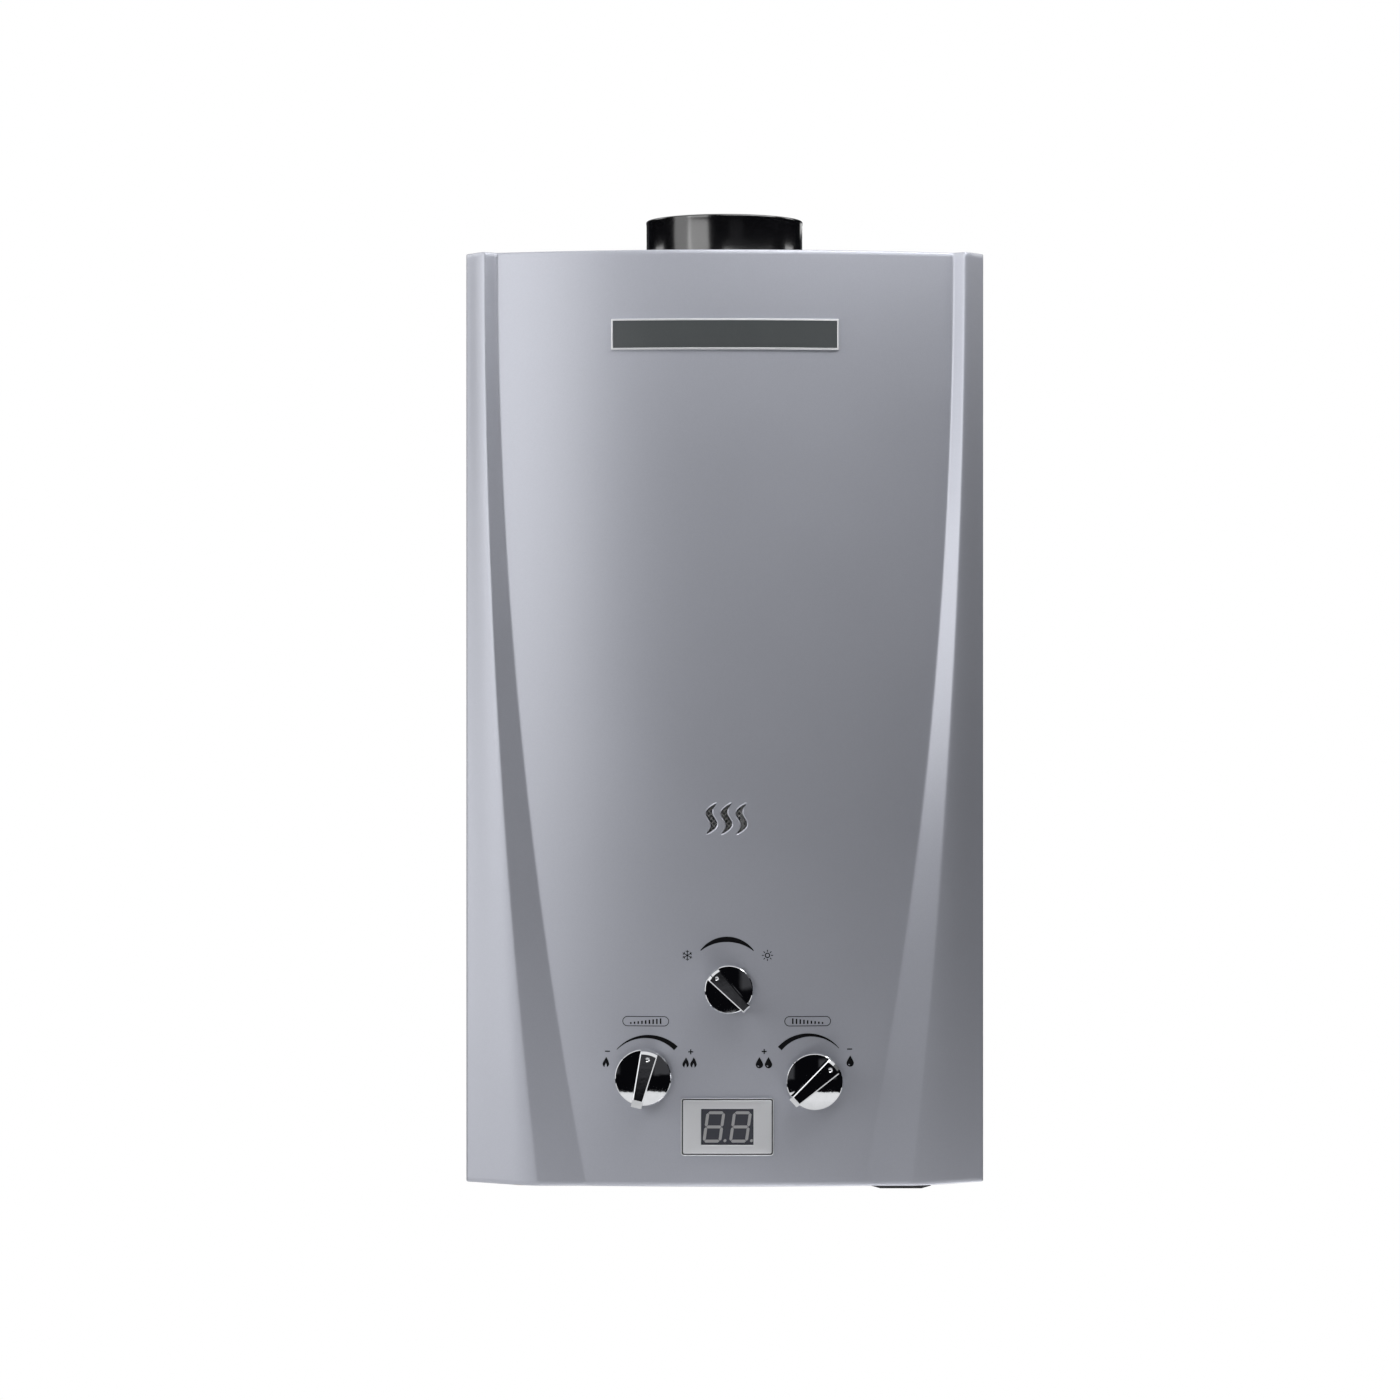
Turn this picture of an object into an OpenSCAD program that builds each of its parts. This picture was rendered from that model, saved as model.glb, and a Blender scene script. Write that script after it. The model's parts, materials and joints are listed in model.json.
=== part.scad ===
// Wall-hung tankless gas water heater, built as the assembly that comes apart on a bench.
// Millimetres. +X is to the right of a person facing it, +Y points into the wall, +Z is up.
// The origin is the middle of the back plate's wall face. Inside the modules heights are
// counted from the bottom edge of the casing, and hung() moves each piece to the origin.

/* [Casing] */
// Width of the casing across its side walls
case_w = 350; // [346:1:354]
// Height of the casing without the flue collar
case_h = 628; // [622:1:634]
// Depth of the flat side walls, from the wall to the front corner
side_d = 130; // [128:1:134]
// Thickness of the casing sheet
sheet = 0.8; // [0.7:0.1:1]
// Width of the return lips round the ends of the front cover
lip_w = 10; // [9:0.5:10.5]

/* [Front panel] */
// How far the middle of the panel stands forward of the side walls
crown = 32; // [30:0.5:34]
// Distance of the ridge from the side wall at the top
ridge_in_top = 13.5; // [13:0.5:14.5]
// Distance of the ridge from the side wall at the bottom
ridge_in_bottom = 49.8; // [47:0.2:52]
// Distance of the valley from the side wall at the top
valley_in_top = 20.8; // [20.4:0.2:22]
// Distance of the valley from the side wall at the bottom
valley_in_bottom = 82; // [78:1:86]
// How far the ridge stands forward of the side wall at the top
ridge_out_top = 15; // [14:0.5:16]
// How far the ridge stands forward of the side wall at the bottom
ridge_out_bottom = 26; // [24:0.5:27]
// How far the valley stands forward of the side wall at the top
valley_out_top = 9; // [8:0.5:10]
// How far the valley stands forward of the side wall at the bottom
valley_out_bottom = 26; // [24:0.5:27]

/* [Controls] */
// Diameter of the flame and water knobs
knob_d = 37.6; // [36:0.2:40]
// Diameter of the season knob
season_knob_d = 32.2; // [30:0.2:34]
// Height of the knobs' blades above the knobs' backs
knob_h = 19; // [17:0.5:21]
// Sideways place of the control group on the panel
controls_x = 2.5; // [0:0.5:3]
// Half the distance between the flame and water knobs
knob_half_pitch = 57.4; // [56:0.2:58]
// Height of the flame knob above the casing's bottom edge
flame_z = 73.3; // [72.5:0.1:74]
// Height of the water knob above the casing's bottom edge
water_z = 70.5; // [70:0.1:72]
// Height of the season knob above the casing's bottom edge
season_z = 132.3; // [131:0.1:134]
// Clockwise turn of the flame knob from upright, as shown
flame_turn = 13.5; // [10:0.5:16]
// Clockwise turn of the water knob from upright, as shown
water_turn = 48; // [44:0.5:50]
// Clockwise turn of the season knob from upright, as shown
season_turn = -44; // [-46:0.5:-40]

/* [Display and trim] */
// Width of the display bezel
bezel_w = 63; // [61:0.5:65]
// Height of the display bezel
bezel_h = 39.4; // [38:0.2:41]
// Width of the display window
window_w = 35; // [34:0.5:36]
// Height of the display window
window_h = 24; // [23:0.5:25]
// Height of the display's middle above the casing's bottom edge
display_z = 40.2; // [39.5:0.1:41]
// Width of the blank name plate
plate_w = 153; // [148:1:156]
// Height of the blank name plate
plate_h = 20.8; // [19:0.2:22]
// Height of the name plate's middle above the casing's bottom edge
plate_z = 571.3; // [566:0.1:575]
// Height of the flame viewing slots' middle above the casing's bottom edge
slots_z = 246.6; // [244:0.2:249]
// Height of each viewing slot
slot_h = 20; // [19:0.5:21]

/* [Flue and connections] */
// Outside diameter of the flue collar
flue_d = 108; // [106:0.5:108]
// Height of the flue collar above the casing
flue_h = 27.5; // [26:0.5:30]
// Outside diameter of the half-inch pipe threads
thread_d = 20.955; // [20.955]
// Sideways distance between the wall holes
wall_hole_x = 310; // [308:1:312]
// Vertical distance between the wall holes
wall_hole_z = 540; // [536:1:544]
// Diameter of the wall holes
wall_hole_d = 9; // [8:0.5:9.5]

/* [Hidden] */
$fn = 64;

half_w = case_w / 2;
gap = 0.3;
bend = 2;              // rounded edge where the cover's lips turn in
rear_gap = 0.5;        // the cover stops this far short of the wall
panel_inset = 3.6;     // top and base panels stand this far inside the casing's outline
base_z = 12;           // underside of the base panel
main_steps = 10;
band_steps = 3;
cheek_steps = 6;
cheek_bulge = 0.8;     // rounding of the cheek towards the ridge, 0 is a flat slope
corner = 2.5;          // the cheek turns into the side wall over this distance
cover_levels = 12;

stack_y = -75;         // middle of the combustion stack, the flue and the valves
stack_w = 232;
stack_d = 102;
jacket_z0 = 330;
jacket_z1 = 512;
burner_z0 = 262;
tube_d = 13;
fin_tube_count = 5;
fin_tube_pitch = 18;
fin_tube_z = 482;
fin_count = 28;
fin_pitch = 8;
burner_count = 10;
burner_pitch = 21;
manifold_y = -137;
manifold_z = 276;
electrode_x = 40;
electrode_z = 338;

flame_x = controls_x - knob_half_pitch;
water_x = controls_x + knob_half_pitch;
season_x = controls_x;
spindle_d = 6;
running = 0.05;        // radial clearance of turning and sliding pieces
knob_gap = 1;          // least gap between a knob and the panel
rod_z = 72;            // height of the water valve's push rod
rod_d = 6;
rod_travel = 5;
gas_x0 = -88;
gas_x1 = -24;
gas_z0 = 48;
gas_z1 = 98;
valve_front_y = -100;
boss_front_y = -129;
plug_d = 16;
hot_x = -138;
thread_z0 = -7.5;
thread_z1 = 9.5;

battery_d = 34.2;
battery_len = 61.5;
battery_x = 120;
box_w = 44;
box_l = 76;
box_wall = 2;
lid_z0 = -6.4;
lid_z1 = 2;

// Silver paint, black enamel, chromed plastic, and the metals inside
silver = [0.66, 0.67, 0.70];
black = [0.05, 0.05, 0.06];
chrome = [0.80, 0.81, 0.83];
galvanised = [0.72, 0.74, 0.75];
copper = [0.80, 0.48, 0.32];
brass = [0.80, 0.66, 0.36];
cast_alloy = [0.62, 0.63, 0.64];
steel = [0.75, 0.75, 0.74];
ceramic = [0.93, 0.92, 0.88];

// Moves a piece from heights above the casing's bottom edge to the origin on the wall face.
module hung() {
    translate([0, 0, -case_h / 2]) children();
}

// Turns a piece made along +Z so that it points out of the front panel, at (x, z) and depth y.
module facing_front(x, y, z, turn = 0) {
    translate([x, y, z]) rotate([90, 0, 0]) rotate([0, 0, -turn]) children();
}

// Turns a piece made along +Z so that it points along +X from x.
module along_x(x, y, z) {
    translate([x, y, z]) rotate([0, 90, 0]) children();
}

// Outline of the front panel. A level's share runs from 0 at the top to 1 at the bottom.
function share(z) = 1 - z / case_h;
function swept(top, bottom, z) = top + (bottom - top) * share(z) * share(z);
function ridge_x(z) = half_w - swept(ridge_in_top, ridge_in_bottom, z);
function valley_x(z) = half_w - swept(valley_in_top, valley_in_bottom, z);
function ridge_out(z) = swept(ridge_out_top, ridge_out_bottom, z);
function valley_out(z) = swept(valley_out_top, valley_out_bottom, z);

// How far the panel stands forward of the side walls between the valleys, at x and height z.
function panel_out(x, z) =
    let (u = x / valley_x(z))
    valley_out(z) + (crown - valley_out(z)) * (1 - u * u);
function panel_y(x, z) = -(side_d + panel_out(x, z));

// How far the cheek stands forward as a share of its ridge, from s = 0 there to 1 at the side wall.
function cheek_rise(s) = (1 - s) * (1 + cheek_bulge * s * (1 - s));

// Right half of a level's outline, from the middle of the panel to the back of the side wall.
// Each point is [x, forward distance, turn of its inward direction from straight back].
function half_outline(z) =
    let (
        xv = valley_x(z), xr = ridge_x(z), vo = valley_out(z), ro = ridge_out(z),
        cheek_end = 1 - corner / (half_w - xr)
    )
    concat(
        [for (i = [0:main_steps]) let (x = xv * i / main_steps) [x, panel_out(x, z), 0]],
        [for (i = [1:band_steps]) let (u = i / band_steps) [xv + (xr - xv) * u, vo + (ro - vo) * u, 0]],
        [for (i = [1:cheek_steps])
            let (u = i / cheek_steps, s = u * cheek_end)
            [xr + (half_w - xr) * s, ro * cheek_rise(s), 90 * pow(i / (cheek_steps + 1), 1.7)]],
        [[half_w, -corner, 90], [half_w, rear_gap - side_d, 90]]
    );

function outline(z) =
    let (right = half_outline(z), n = len(right))
    concat(
        [for (i = [n - 1:-1:1]) [-right[i].x, right[i].y, -right[i].z]],
        right
    );

function unit(v) = v / norm(v);

// Inward normal of an outline at point i, in the [x, forward] plane.
function inward(points, i) =
    let (
        a = points[max(i - 1, 0)], b = points[min(i + 1, len(points) - 1)],
        t = unit([b.x - a.x, b.y - a.y])
    )
    [t.y, -t.x];

// An outline moved in square to the sheet by depth and along the lips by set_in.
function inset_outline(points, depth, set_in) =
    [for (i = [0:len(points) - 1])
        let (
            p = points[i], n = inward(points, i),
            lip = [-sin(p.z), -cos(p.z)]
        )
        [p.x + n.x * depth + lip.x * set_in, p.y + n.y * depth + lip.y * set_in]];

function level_points(z, level, depth, set_in) =
    [for (p = inset_outline(outline(level), depth, set_in)) [p.x, -(side_d + p.y), z]];

// A flat sheet that fills the casing's outline at a height, clear of the cover and behind its ridges.
module outline_sheet(level, z, thickness) {
    low = valley_out(level);
    plain = [for (p = outline(level)) [p.x, abs(p.x) > valley_x(level) ? min(p.y, low) : p.y, p.z]];
    points = [for (p = inset_outline(plain, panel_inset, 0)) [p.x, -(side_d + p.y)]];
    translate([0, 0, z]) linear_extrude(thickness) intersection() {
        polygon(points);
        translate([-half_w, -2 * side_d]) square([case_w, 2 * side_d - sheet - gap]);
    }
}

// Two sheets of rows, one outside and one inside, joined round their edges into a closed solid.
module thick_sheet(outer, inner) {
    rows = len(outer);
    cols = len(outer[0]);
    inside = rows * cols;
    function at(r, c) = r * cols + c;
    faces = concat(
        [for (r = [0:rows - 2], c = [0:cols - 2]) each
            let (a = at(r, c), b = at(r, c + 1), e = at(r + 1, c + 1), d = at(r + 1, c))
            [[a, d, e], [a, e, b], [inside + a, inside + b, inside + e], [inside + a, inside + e, inside + d]]],
        [for (c = [0:cols - 2]) each
            let (a = at(0, c), b = at(0, c + 1), e = at(rows - 1, c + 1), d = at(rows - 1, c))
            [[a, b, inside + b], [a, inside + b, inside + a],
             [e, d, inside + d], [e, inside + d, inside + e]]],
        [for (r = [0:rows - 2]) each
            let (a = at(r, 0), d = at(r + 1, 0), b = at(r, cols - 1), e = at(r + 1, cols - 1))
            [[d, a, inside + a], [d, inside + a, inside + d],
             [b, e, inside + e], [b, inside + e, inside + b]]]
    );
    polyhedron(
        points = concat([for (row = outer) each row], [for (row = inner) each row]),
        faces = faces
    );
}

// One S-shaped viewing slot, thick in the middle and pointed at both ends.
module slot_shape(height) {
    steps = 12;
    swing = 2.95;
    lean = 3;
    half_thick = 2.3;
    function middle(v) = [lean * (1 - 2 * v) - swing * sin(360 * v), height / 2 - height * v];
    function thick(v) = half_thick * pow(sin(180 * v), 0.6);
    polygon(concat(
        [for (i = [0:steps]) let (v = i / steps) middle(v) + [thick(v), 0]],
        [for (i = [steps - 1:-1:1]) let (v = i / steps) middle(v) - [thick(v), 0]]
    ));
}

module viewing_slots(depth) {
    slot_count = 3;
    slot_pitch = 10.1;
    for (i = [0:slot_count - 1])
        translate([controls_x - 1.5 + (i - (slot_count - 1) / 2) * slot_pitch, 0, slots_z])
            rotate([90, 0, 0]) linear_extrude(depth) slot_shape(slot_h);
}

// A row of louvre slots through one side wall, side = 1 on the right and -1 on the left.
module side_louvres(side) {
    louvre_count = 6;
    louvre_l = 56;
    louvre_w = 4.5;
    louvre_pitch = 13;
    for (i = [0:louvre_count - 1])
        translate([side * (half_w - 4), stack_y, 470 + i * louvre_pitch])
            cube([10, louvre_l, louvre_w], center = true);
}

// Screw places on the side walls, shared by the cover, the back plate and the screws.
cover_screw_y = -12;
cover_screw_zs = [60, 320, 580];

module front_cover() {
    levels = [for (i = [0:cover_levels]) bend + (case_h - 2 * bend) * i / cover_levels];
    outer = concat(
        [level_points(0, 0, 0, lip_w), level_points(0, 0, 0, bend)],
        [for (z = levels) level_points(z, z, 0, 0)],
        [level_points(case_h, case_h, 0, bend), level_points(case_h, case_h, 0, lip_w)]
    );
    inner = concat(
        [level_points(sheet, 0, 0, lip_w), level_points(sheet, 0, sheet, bend - sheet / 2)],
        [for (z = levels) level_points(z, z, sheet, 0)],
        [level_points(case_h - sheet, case_h, sheet, bend - sheet / 2),
         level_points(case_h - sheet, case_h, 0, lip_w)]
    );
    color(silver) hung() difference() {
        thick_sheet(outer, inner);
        for (k = [[flame_x, flame_z], [water_x, water_z], [season_x, season_z]])
            facing_front(k.x, -side_d, k.y) cylinder(d = 12, h = 60);
        translate([controls_x - 1 - (bezel_w - 4) / 2, -side_d - 60, display_z - (bezel_h - 4) / 2])
            cube([bezel_w - 4, 60, bezel_h - 4]);
        translate([0, -side_d, 0]) viewing_slots(60);
        for (side = [-1, 1]) {
            side_louvres(side);
            for (z = cover_screw_zs)
                along_x(side * half_w - 5, cover_screw_y, z) cylinder(d = 4.4, h = 10);
        }
    }
}

// Pressed back plate: a web against the wall, with a flange inside each wall of the cover.
module back_plate() {
    flange_d = 22;
    outer_x = half_w - sheet - gap;
    color(galvanised) hung() difference() {
        translate([0, 0, 3]) linear_extrude(case_h - 6) union() {
            translate([-outer_x, -sheet]) square([2 * outer_x, sheet]);
            for (x = [-outer_x, outer_x - sheet]) translate([x, -flange_d]) square([sheet, flange_d]);
        }
        for (x = [-1, 1], z = [-1, 1])
            facing_front(x * wall_hole_x / 2, 1, case_h / 2 + z * wall_hole_z / 2)
                cylinder(d = wall_hole_d, h = 5);
        for (side = [-1, 1], z = cover_screw_zs)
            along_x(side * half_w - 6, cover_screw_y, z) cylinder(d = 3.3, h = 12);
    }
}

module top_panel() {
    z = case_h - sheet - 0.2 - sheet;
    color(galvanised) hung() difference() {
        union() {
            outline_sheet(case_h, z, sheet);
            translate([-150, -2 * sheet, z - 18]) cube([300, sheet, 18 + sheet]);
        }
        translate([0, stack_y, z - 1]) cylinder(d = flue_d - 2, h = 4);
    }
}

// Places of the three pipe connections, the drain plug and the battery box on the base panel.
pipe_places = [[hot_x, stack_y], [flame_x, stack_y], [water_x, stack_y]];
drain_x = 28.5;

module base_panel() {
    vent_count = 7;
    vent_pitch = 14;
    color(galvanised) hung() difference() {
        union() {
            outline_sheet(base_z, base_z, sheet);
            translate([-150, -2 * sheet, base_z]) cube([300, sheet, 18]);
        }
        for (p = pipe_places) translate([p.x, p.y, base_z - 1]) cylinder(d = 22, h = 4);
        translate([drain_x, stack_y, base_z - 1]) cylinder(d = 24, h = 4);
        translate([battery_x - box_w / 2 - gap, stack_y - box_l / 2 - gap, base_z - 1])
            cube([box_w + 2 * gap, box_l + 2 * gap, 4]);
        for (i = [0:vent_count - 1])
            translate([hot_x + 26 + i * vent_pitch / 2, 0, base_z - 1])
                translate([0, -40, 0]) cube([4, 30, 4]);
        for (i = [0:vent_count - 1])
            translate([-45 + i * vent_pitch, -140, base_z - 1]) cube([5, 34, 4]);
    }
}

// Black flue collar: a spigot with a rolled rim, standing on a flange screwed to the top panel.
module flue_collar() {
    wall = 1.5;
    flange_d = flue_d + 24;
    z0 = case_h - sheet - 0.2;
    z1 = case_h + flue_h;
    r = flue_d / 2;
    color(black) hung() translate([0, stack_y, 0]) rotate_extrude() union() {
        translate([r - wall, z0]) square([wall, z1 - z0]);
        translate([r - wall, z0]) square([flange_d / 2 - r + wall, 1]);
    }
}

// Sheet hood over the exchanger: a box with sloping shoulders and a round outlet in the collar.
module draft_hood() {
    wall = 1;
    outlet_d = 98;
    shoulder_z = 545;
    top_z = 604;
    top_w = outlet_d + 6;
    function shape(t) = [
        [-stack_w / 2 + t, jacket_z1], [stack_w / 2 - t, jacket_z1],
        [stack_w / 2 - t, shoulder_z], [top_w / 2 - t, top_z - t],
        [-top_w / 2 + t, top_z - t], [-stack_w / 2 + t, shoulder_z]
    ];
    color(galvanised) hung() translate([0, stack_y, 0]) difference() {
        union() {
            translate([0, stack_d / 2, 0]) rotate([90, 0, 0])
                linear_extrude(stack_d) polygon(shape(0));
            translate([0, 0, top_z - wall]) cylinder(d = outlet_d, h = case_h + 4 - top_z);
        }
        translate([0, stack_d / 2 - wall, -0.01]) rotate([90, 0, 0])
            linear_extrude(stack_d - 2 * wall) polygon(shape(wall));
        translate([0, 0, top_z - 20]) cylinder(d = outlet_d - 2 * wall, h = 60);
    }
}

function fin_tube_y(i) = stack_y - (i - (fin_tube_count - 1) / 2) * fin_tube_pitch;

// Copper jacket round the flame: an open box with holes for the water tubes and electrodes.
module exchanger_jacket() {
    wall = 0.7;
    color(copper) hung() difference() {
        translate([-stack_w / 2, stack_y - stack_d / 2, jacket_z0])
            cube([stack_w, stack_d, jacket_z1 - jacket_z0]);
        translate([-stack_w / 2 + wall, stack_y - stack_d / 2 + wall, jacket_z0 - 1])
            cube([stack_w - 2 * wall, stack_d - 2 * wall, jacket_z1 - jacket_z0 + 2]);
        for (i = [0:fin_tube_count - 1])
            along_x(-stack_w, fin_tube_y(i), fin_tube_z) cylinder(d = tube_d + 0.4, h = 2 * stack_w);
        for (x = [-electrode_x, electrode_x])
            facing_front(x, stack_y - stack_d / 2 + 5, electrode_z) cylinder(d = 7.4, h = 10);
    }
}

module exchanger_fins() {
    fin_t = 0.4;
    fin_h = 48;
    fin_d = stack_d - 6;
    color(copper) hung()
        for (n = [0:fin_count - 1])
            translate([(n - (fin_count - 1) / 2) * fin_pitch - fin_t / 2, 0, 0]) difference() {
                translate([0, stack_y - fin_d / 2, fin_tube_z - fin_h / 2]) cube([fin_t, fin_d, fin_h]);
                for (i = [0:fin_tube_count - 1])
                    along_x(-1, fin_tube_y(i), fin_tube_z) cylinder(d = tube_d + 0.2, h = 3);
            }
}

// A bent wire along points, with an elbow of the bend radius at each inner point.
function turn_at(a, b, c) = acos(unit(b - a) * unit(c - b));
function trim_at(points, i, radius) =
    (i == 0 || i == len(points) - 1) ? 0
    : radius * tan(turn_at(points[i - 1], points[i], points[i + 1]) / 2);

module pipe_straight(a, b, d) {
    v = b - a;
    translate(a) rotate([0, acos(v.z / norm(v)), atan2(v.y, v.x)]) cylinder(d = d, h = norm(v));
}

module pipe_elbow(start, way_in, way_out, radius, d) {
    turn = acos(way_in * way_out);
    inside = unit(way_out - way_in * cos(turn));
    axis = cross(way_in, inside);
    centre = start + inside * radius;
    multmatrix([
        [-inside.x, way_in.x, axis.x, centre.x],
        [-inside.y, way_in.y, axis.y, centre.y],
        [-inside.z, way_in.z, axis.z, centre.z],
        [0, 0, 0, 1]
    ]) rotate_extrude(angle = turn) translate([radius, 0]) circle(d = d);
}

module pipe_run(points, d, radius) {
    last = len(points) - 1;
    for (i = [0:last - 1]) {
        way = unit(points[i + 1] - points[i]);
        a = points[i] + way * trim_at(points, i, radius);
        b = points[i + 1] - way * trim_at(points, i + 1, radius);
        pipe_straight(a, b, d);
        if (i < last - 1)
            pipe_elbow(b, way, unit(points[i + 2] - points[i + 1]), radius, d);
    }
}

tube_end_x = stack_w / 2 + 8;   // the coil, the fin tubes and the hot pipe meet end to end here

// Points of a route with its inner corners rounded to the bend radius.
function elbow_points(a, b, c, radius, steps) =
    let (
        way_in = unit(b - a), way_out = unit(c - b), turn = acos(way_in * way_out),
        inside = unit(way_out - way_in * cos(turn)),
        centre = b - way_in * radius * tan(turn / 2) + inside * radius
    )
    [for (k = [0:steps])
        let (q = turn * k / steps)
        centre - inside * radius * cos(q) + way_in * radius * sin(q)];

function rounded_route(points, radius, steps) =
    let (last = len(points) - 1)
    concat(
        [points[0]],
        [for (i = [1:last - 1]) each elbow_points(points[i - 1], points[i], points[i + 1], radius, steps)],
        [points[last]]
    );

// A bent tube swept along a route, its rings carried round the bends untwisted. With no bore it is
// a solid wire, and with one it has an inner skin and a flat ring at each end.
module swept_tube(route, d, sides, bore = 0) {
    last = len(route) - 1;
    ways = [for (i = [0:last]) unit(route[min(i + 1, last)] - route[max(i - 1, 0)])];
    function square_to(v, way) = unit(v - way * (v * way));
    first_side = square_to(abs(ways[0].z) < 0.8 ? [0, 0, 1] : [1, 0, 0], ways[0]);
    edges = [for (i = 0, v = first_side; i <= last; i = i + 1, v = i <= last ? square_to(v, ways[i]) : v) v];
    function skin(r) = [for (i = [0:last], k = [0:sides - 1])
        let (a = 360 * k / sides, up = cross(ways[i], edges[i]))
        route[i] + r * (edges[i] * cos(a) + up * sin(a))];
    inside = (last + 1) * sides;
    end = last * sides;
    walls = [for (i = [0:last - 1], k = [0:sides - 1]) each
        let (a = i * sides + k, b = i * sides + (k + 1) % sides)
        [[a, b + sides, b], [a, a + sides, b + sides]]];
    caps = [[for (k = [0:sides - 1]) k], [for (k = [sides - 1:-1:0]) end + k]];
    rims = [for (a = [0:sides - 1]) each
        let (b = (a + 1) % sides)
        [[a, b, inside + b], [a, inside + b, inside + a],
         [end + b, end + a, inside + end + a], [end + b, inside + end + a, inside + end + b]]];
    bore_walls = [for (f = walls) [f[2] + inside, f[1] + inside, f[0] + inside]];
    polyhedron(
        points = bore > 0 ? concat(skin(d / 2), skin(bore / 2)) : skin(d / 2),
        faces = bore > 0 ? concat(walls, bore_walls, rims) : concat(walls, caps)
    );
}

module bent_pipe(points, d, radius, wall) {
    swept_tube(rounded_route(points, radius, 4), d, 12, d - 2 * wall);
}

tube_wall = 0.9;       // copper water tube

// Serpentine of straight tubes through the fins, joined by U-bends outside the jacket.
module fin_tubes() {
    x = stack_w / 2 + 4 + fin_tube_pitch / 2;
    last = fin_tube_count - 1;
    points = concat(
        [[tube_end_x, fin_tube_y(0), fin_tube_z]],
        [for (i = [0:last - 1]) each
            let (s = i % 2 == 0 ? -1 : 1)
            [[s * x, fin_tube_y(i), fin_tube_z], [s * x, fin_tube_y(i + 1), fin_tube_z]]],
        [[-tube_end_x, fin_tube_y(last), fin_tube_z]]
    );
    color(copper) hung() bent_pipe(points, tube_d, fin_tube_pitch / 2 - 0.05, tube_wall);
}

coil_x = stack_w / 2 + tube_d / 2 + 0.5;
coil_half_y = stack_d / 2 + tube_d / 2 + 0.5;
coil_z0 = 352;
coil_z1 = 440;
coil_bend = 9;
riser_y = stack_y - 4;
union_z = 250;                  // the cold pipe meets the coil here, below the burner
cold_riser_x = 72;

// Water coil soldered round the jacket: corner points that climb evenly, then a turn into the fins.
module jacket_coil() {
    corners = [[1, -1], [-1, -1], [-1, 1], [1, 1]];
    turns = 3;
    count = 4 * turns - 1;
    out_x = tube_end_x + coil_bend + 1;
    round_points = [for (i = [0:count])
        let (c = corners[i % 4])
        [i == count ? out_x : c.x * coil_x, stack_y + c.y * coil_half_y,
         coil_z0 + (coil_z1 - coil_z0) * i / count]];
    points = concat(
        [[coil_x, riser_y, union_z], [coil_x, riser_y, coil_z0]],
        round_points,
        [[out_x, round_points[count].y, fin_tube_z], [out_x, fin_tube_y(0), fin_tube_z],
         [tube_end_x, fin_tube_y(0), fin_tube_z]]
    );
    color(copper) hung() bent_pipe(points, tube_d, coil_bend, tube_wall);
}

module cold_pipe() {
    points = [
        [cold_riser_x, riser_y, gas_z1], [cold_riser_x, riser_y, 160],
        [coil_x, riser_y, 200], [coil_x, riser_y, union_z]
    ];
    color(copper) hung() bent_pipe(points, tube_d, 18, tube_wall);
}

hot_union_z = 36;

module hot_pipe() {
    y = fin_tube_y(fin_tube_count - 1);
    points = [
        [-tube_end_x, y, fin_tube_z], [hot_x, y, fin_tube_z], [hot_x, y, 110],
        [hot_x, stack_y, 80], [hot_x, stack_y, hot_union_z]
    ];
    color(copper) hung() bent_pipe(points, tube_d, 12, tube_wall);
}

// Union nuts on the water pipes, each bored to slip over its pipe.
module pipe_nuts() {
    nut_h = 14;
    color(brass) hung()
        for (p = [[coil_x, riser_y, union_z - nut_h / 2], [cold_riser_x, riser_y, gas_z1],
                  [hot_x, stack_y, hot_union_z]])
            translate(p) difference() {
                cylinder(d = 22, h = nut_h, $fn = 6);
                translate([0, 0, -1]) cylinder(d = tube_d + 0.2, h = nut_h + 2);
            }
}

// Four stand-offs that carry the jacket and the burner on the back plate.
module stack_brackets() {
    back_y = -sheet;
    front_y = stack_y + stack_d / 2;
    foot = 22;
    color(galvanised) hung()
        for (x = [-70, 70], z = [jacket_z0 + 4, burner_z0 + 12]) translate([x - 12, 0, z]) {
            translate([0, front_y, 0]) cube([24, back_y - front_y, 2]);
            translate([0, front_y, -foot / 2]) cube([24, 1.5, foot / 2]);
            translate([0, back_y - 1.5, -foot / 2]) cube([24, 1.5, foot / 2]);
        }
}

module burner_frame() {
    wall = 1;
    h = jacket_z0 - burner_z0;
    color(steel) hung() difference() {
        translate([-stack_w / 2, stack_y - stack_d / 2, burner_z0]) cube([stack_w, stack_d, h]);
        translate([-stack_w / 2 + wall, stack_y - stack_d / 2 + wall, burner_z0 + 3])
            cube([stack_w - 2 * wall, stack_d - 2 * wall, h]);
        translate([-stack_w / 2 + 12, stack_y - stack_d / 2 + 14, burner_z0 - 1])
            cube([stack_w - 24, stack_d - 28, 10]);
        for (i = [0:burner_count - 1])
            facing_front(burner_x(i), stack_y - stack_d / 2 + 5, manifold_z) cylinder(d = 13, h = 10);
    }
}

function burner_x(i) = (i - (burner_count - 1) / 2) * burner_pitch;

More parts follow.
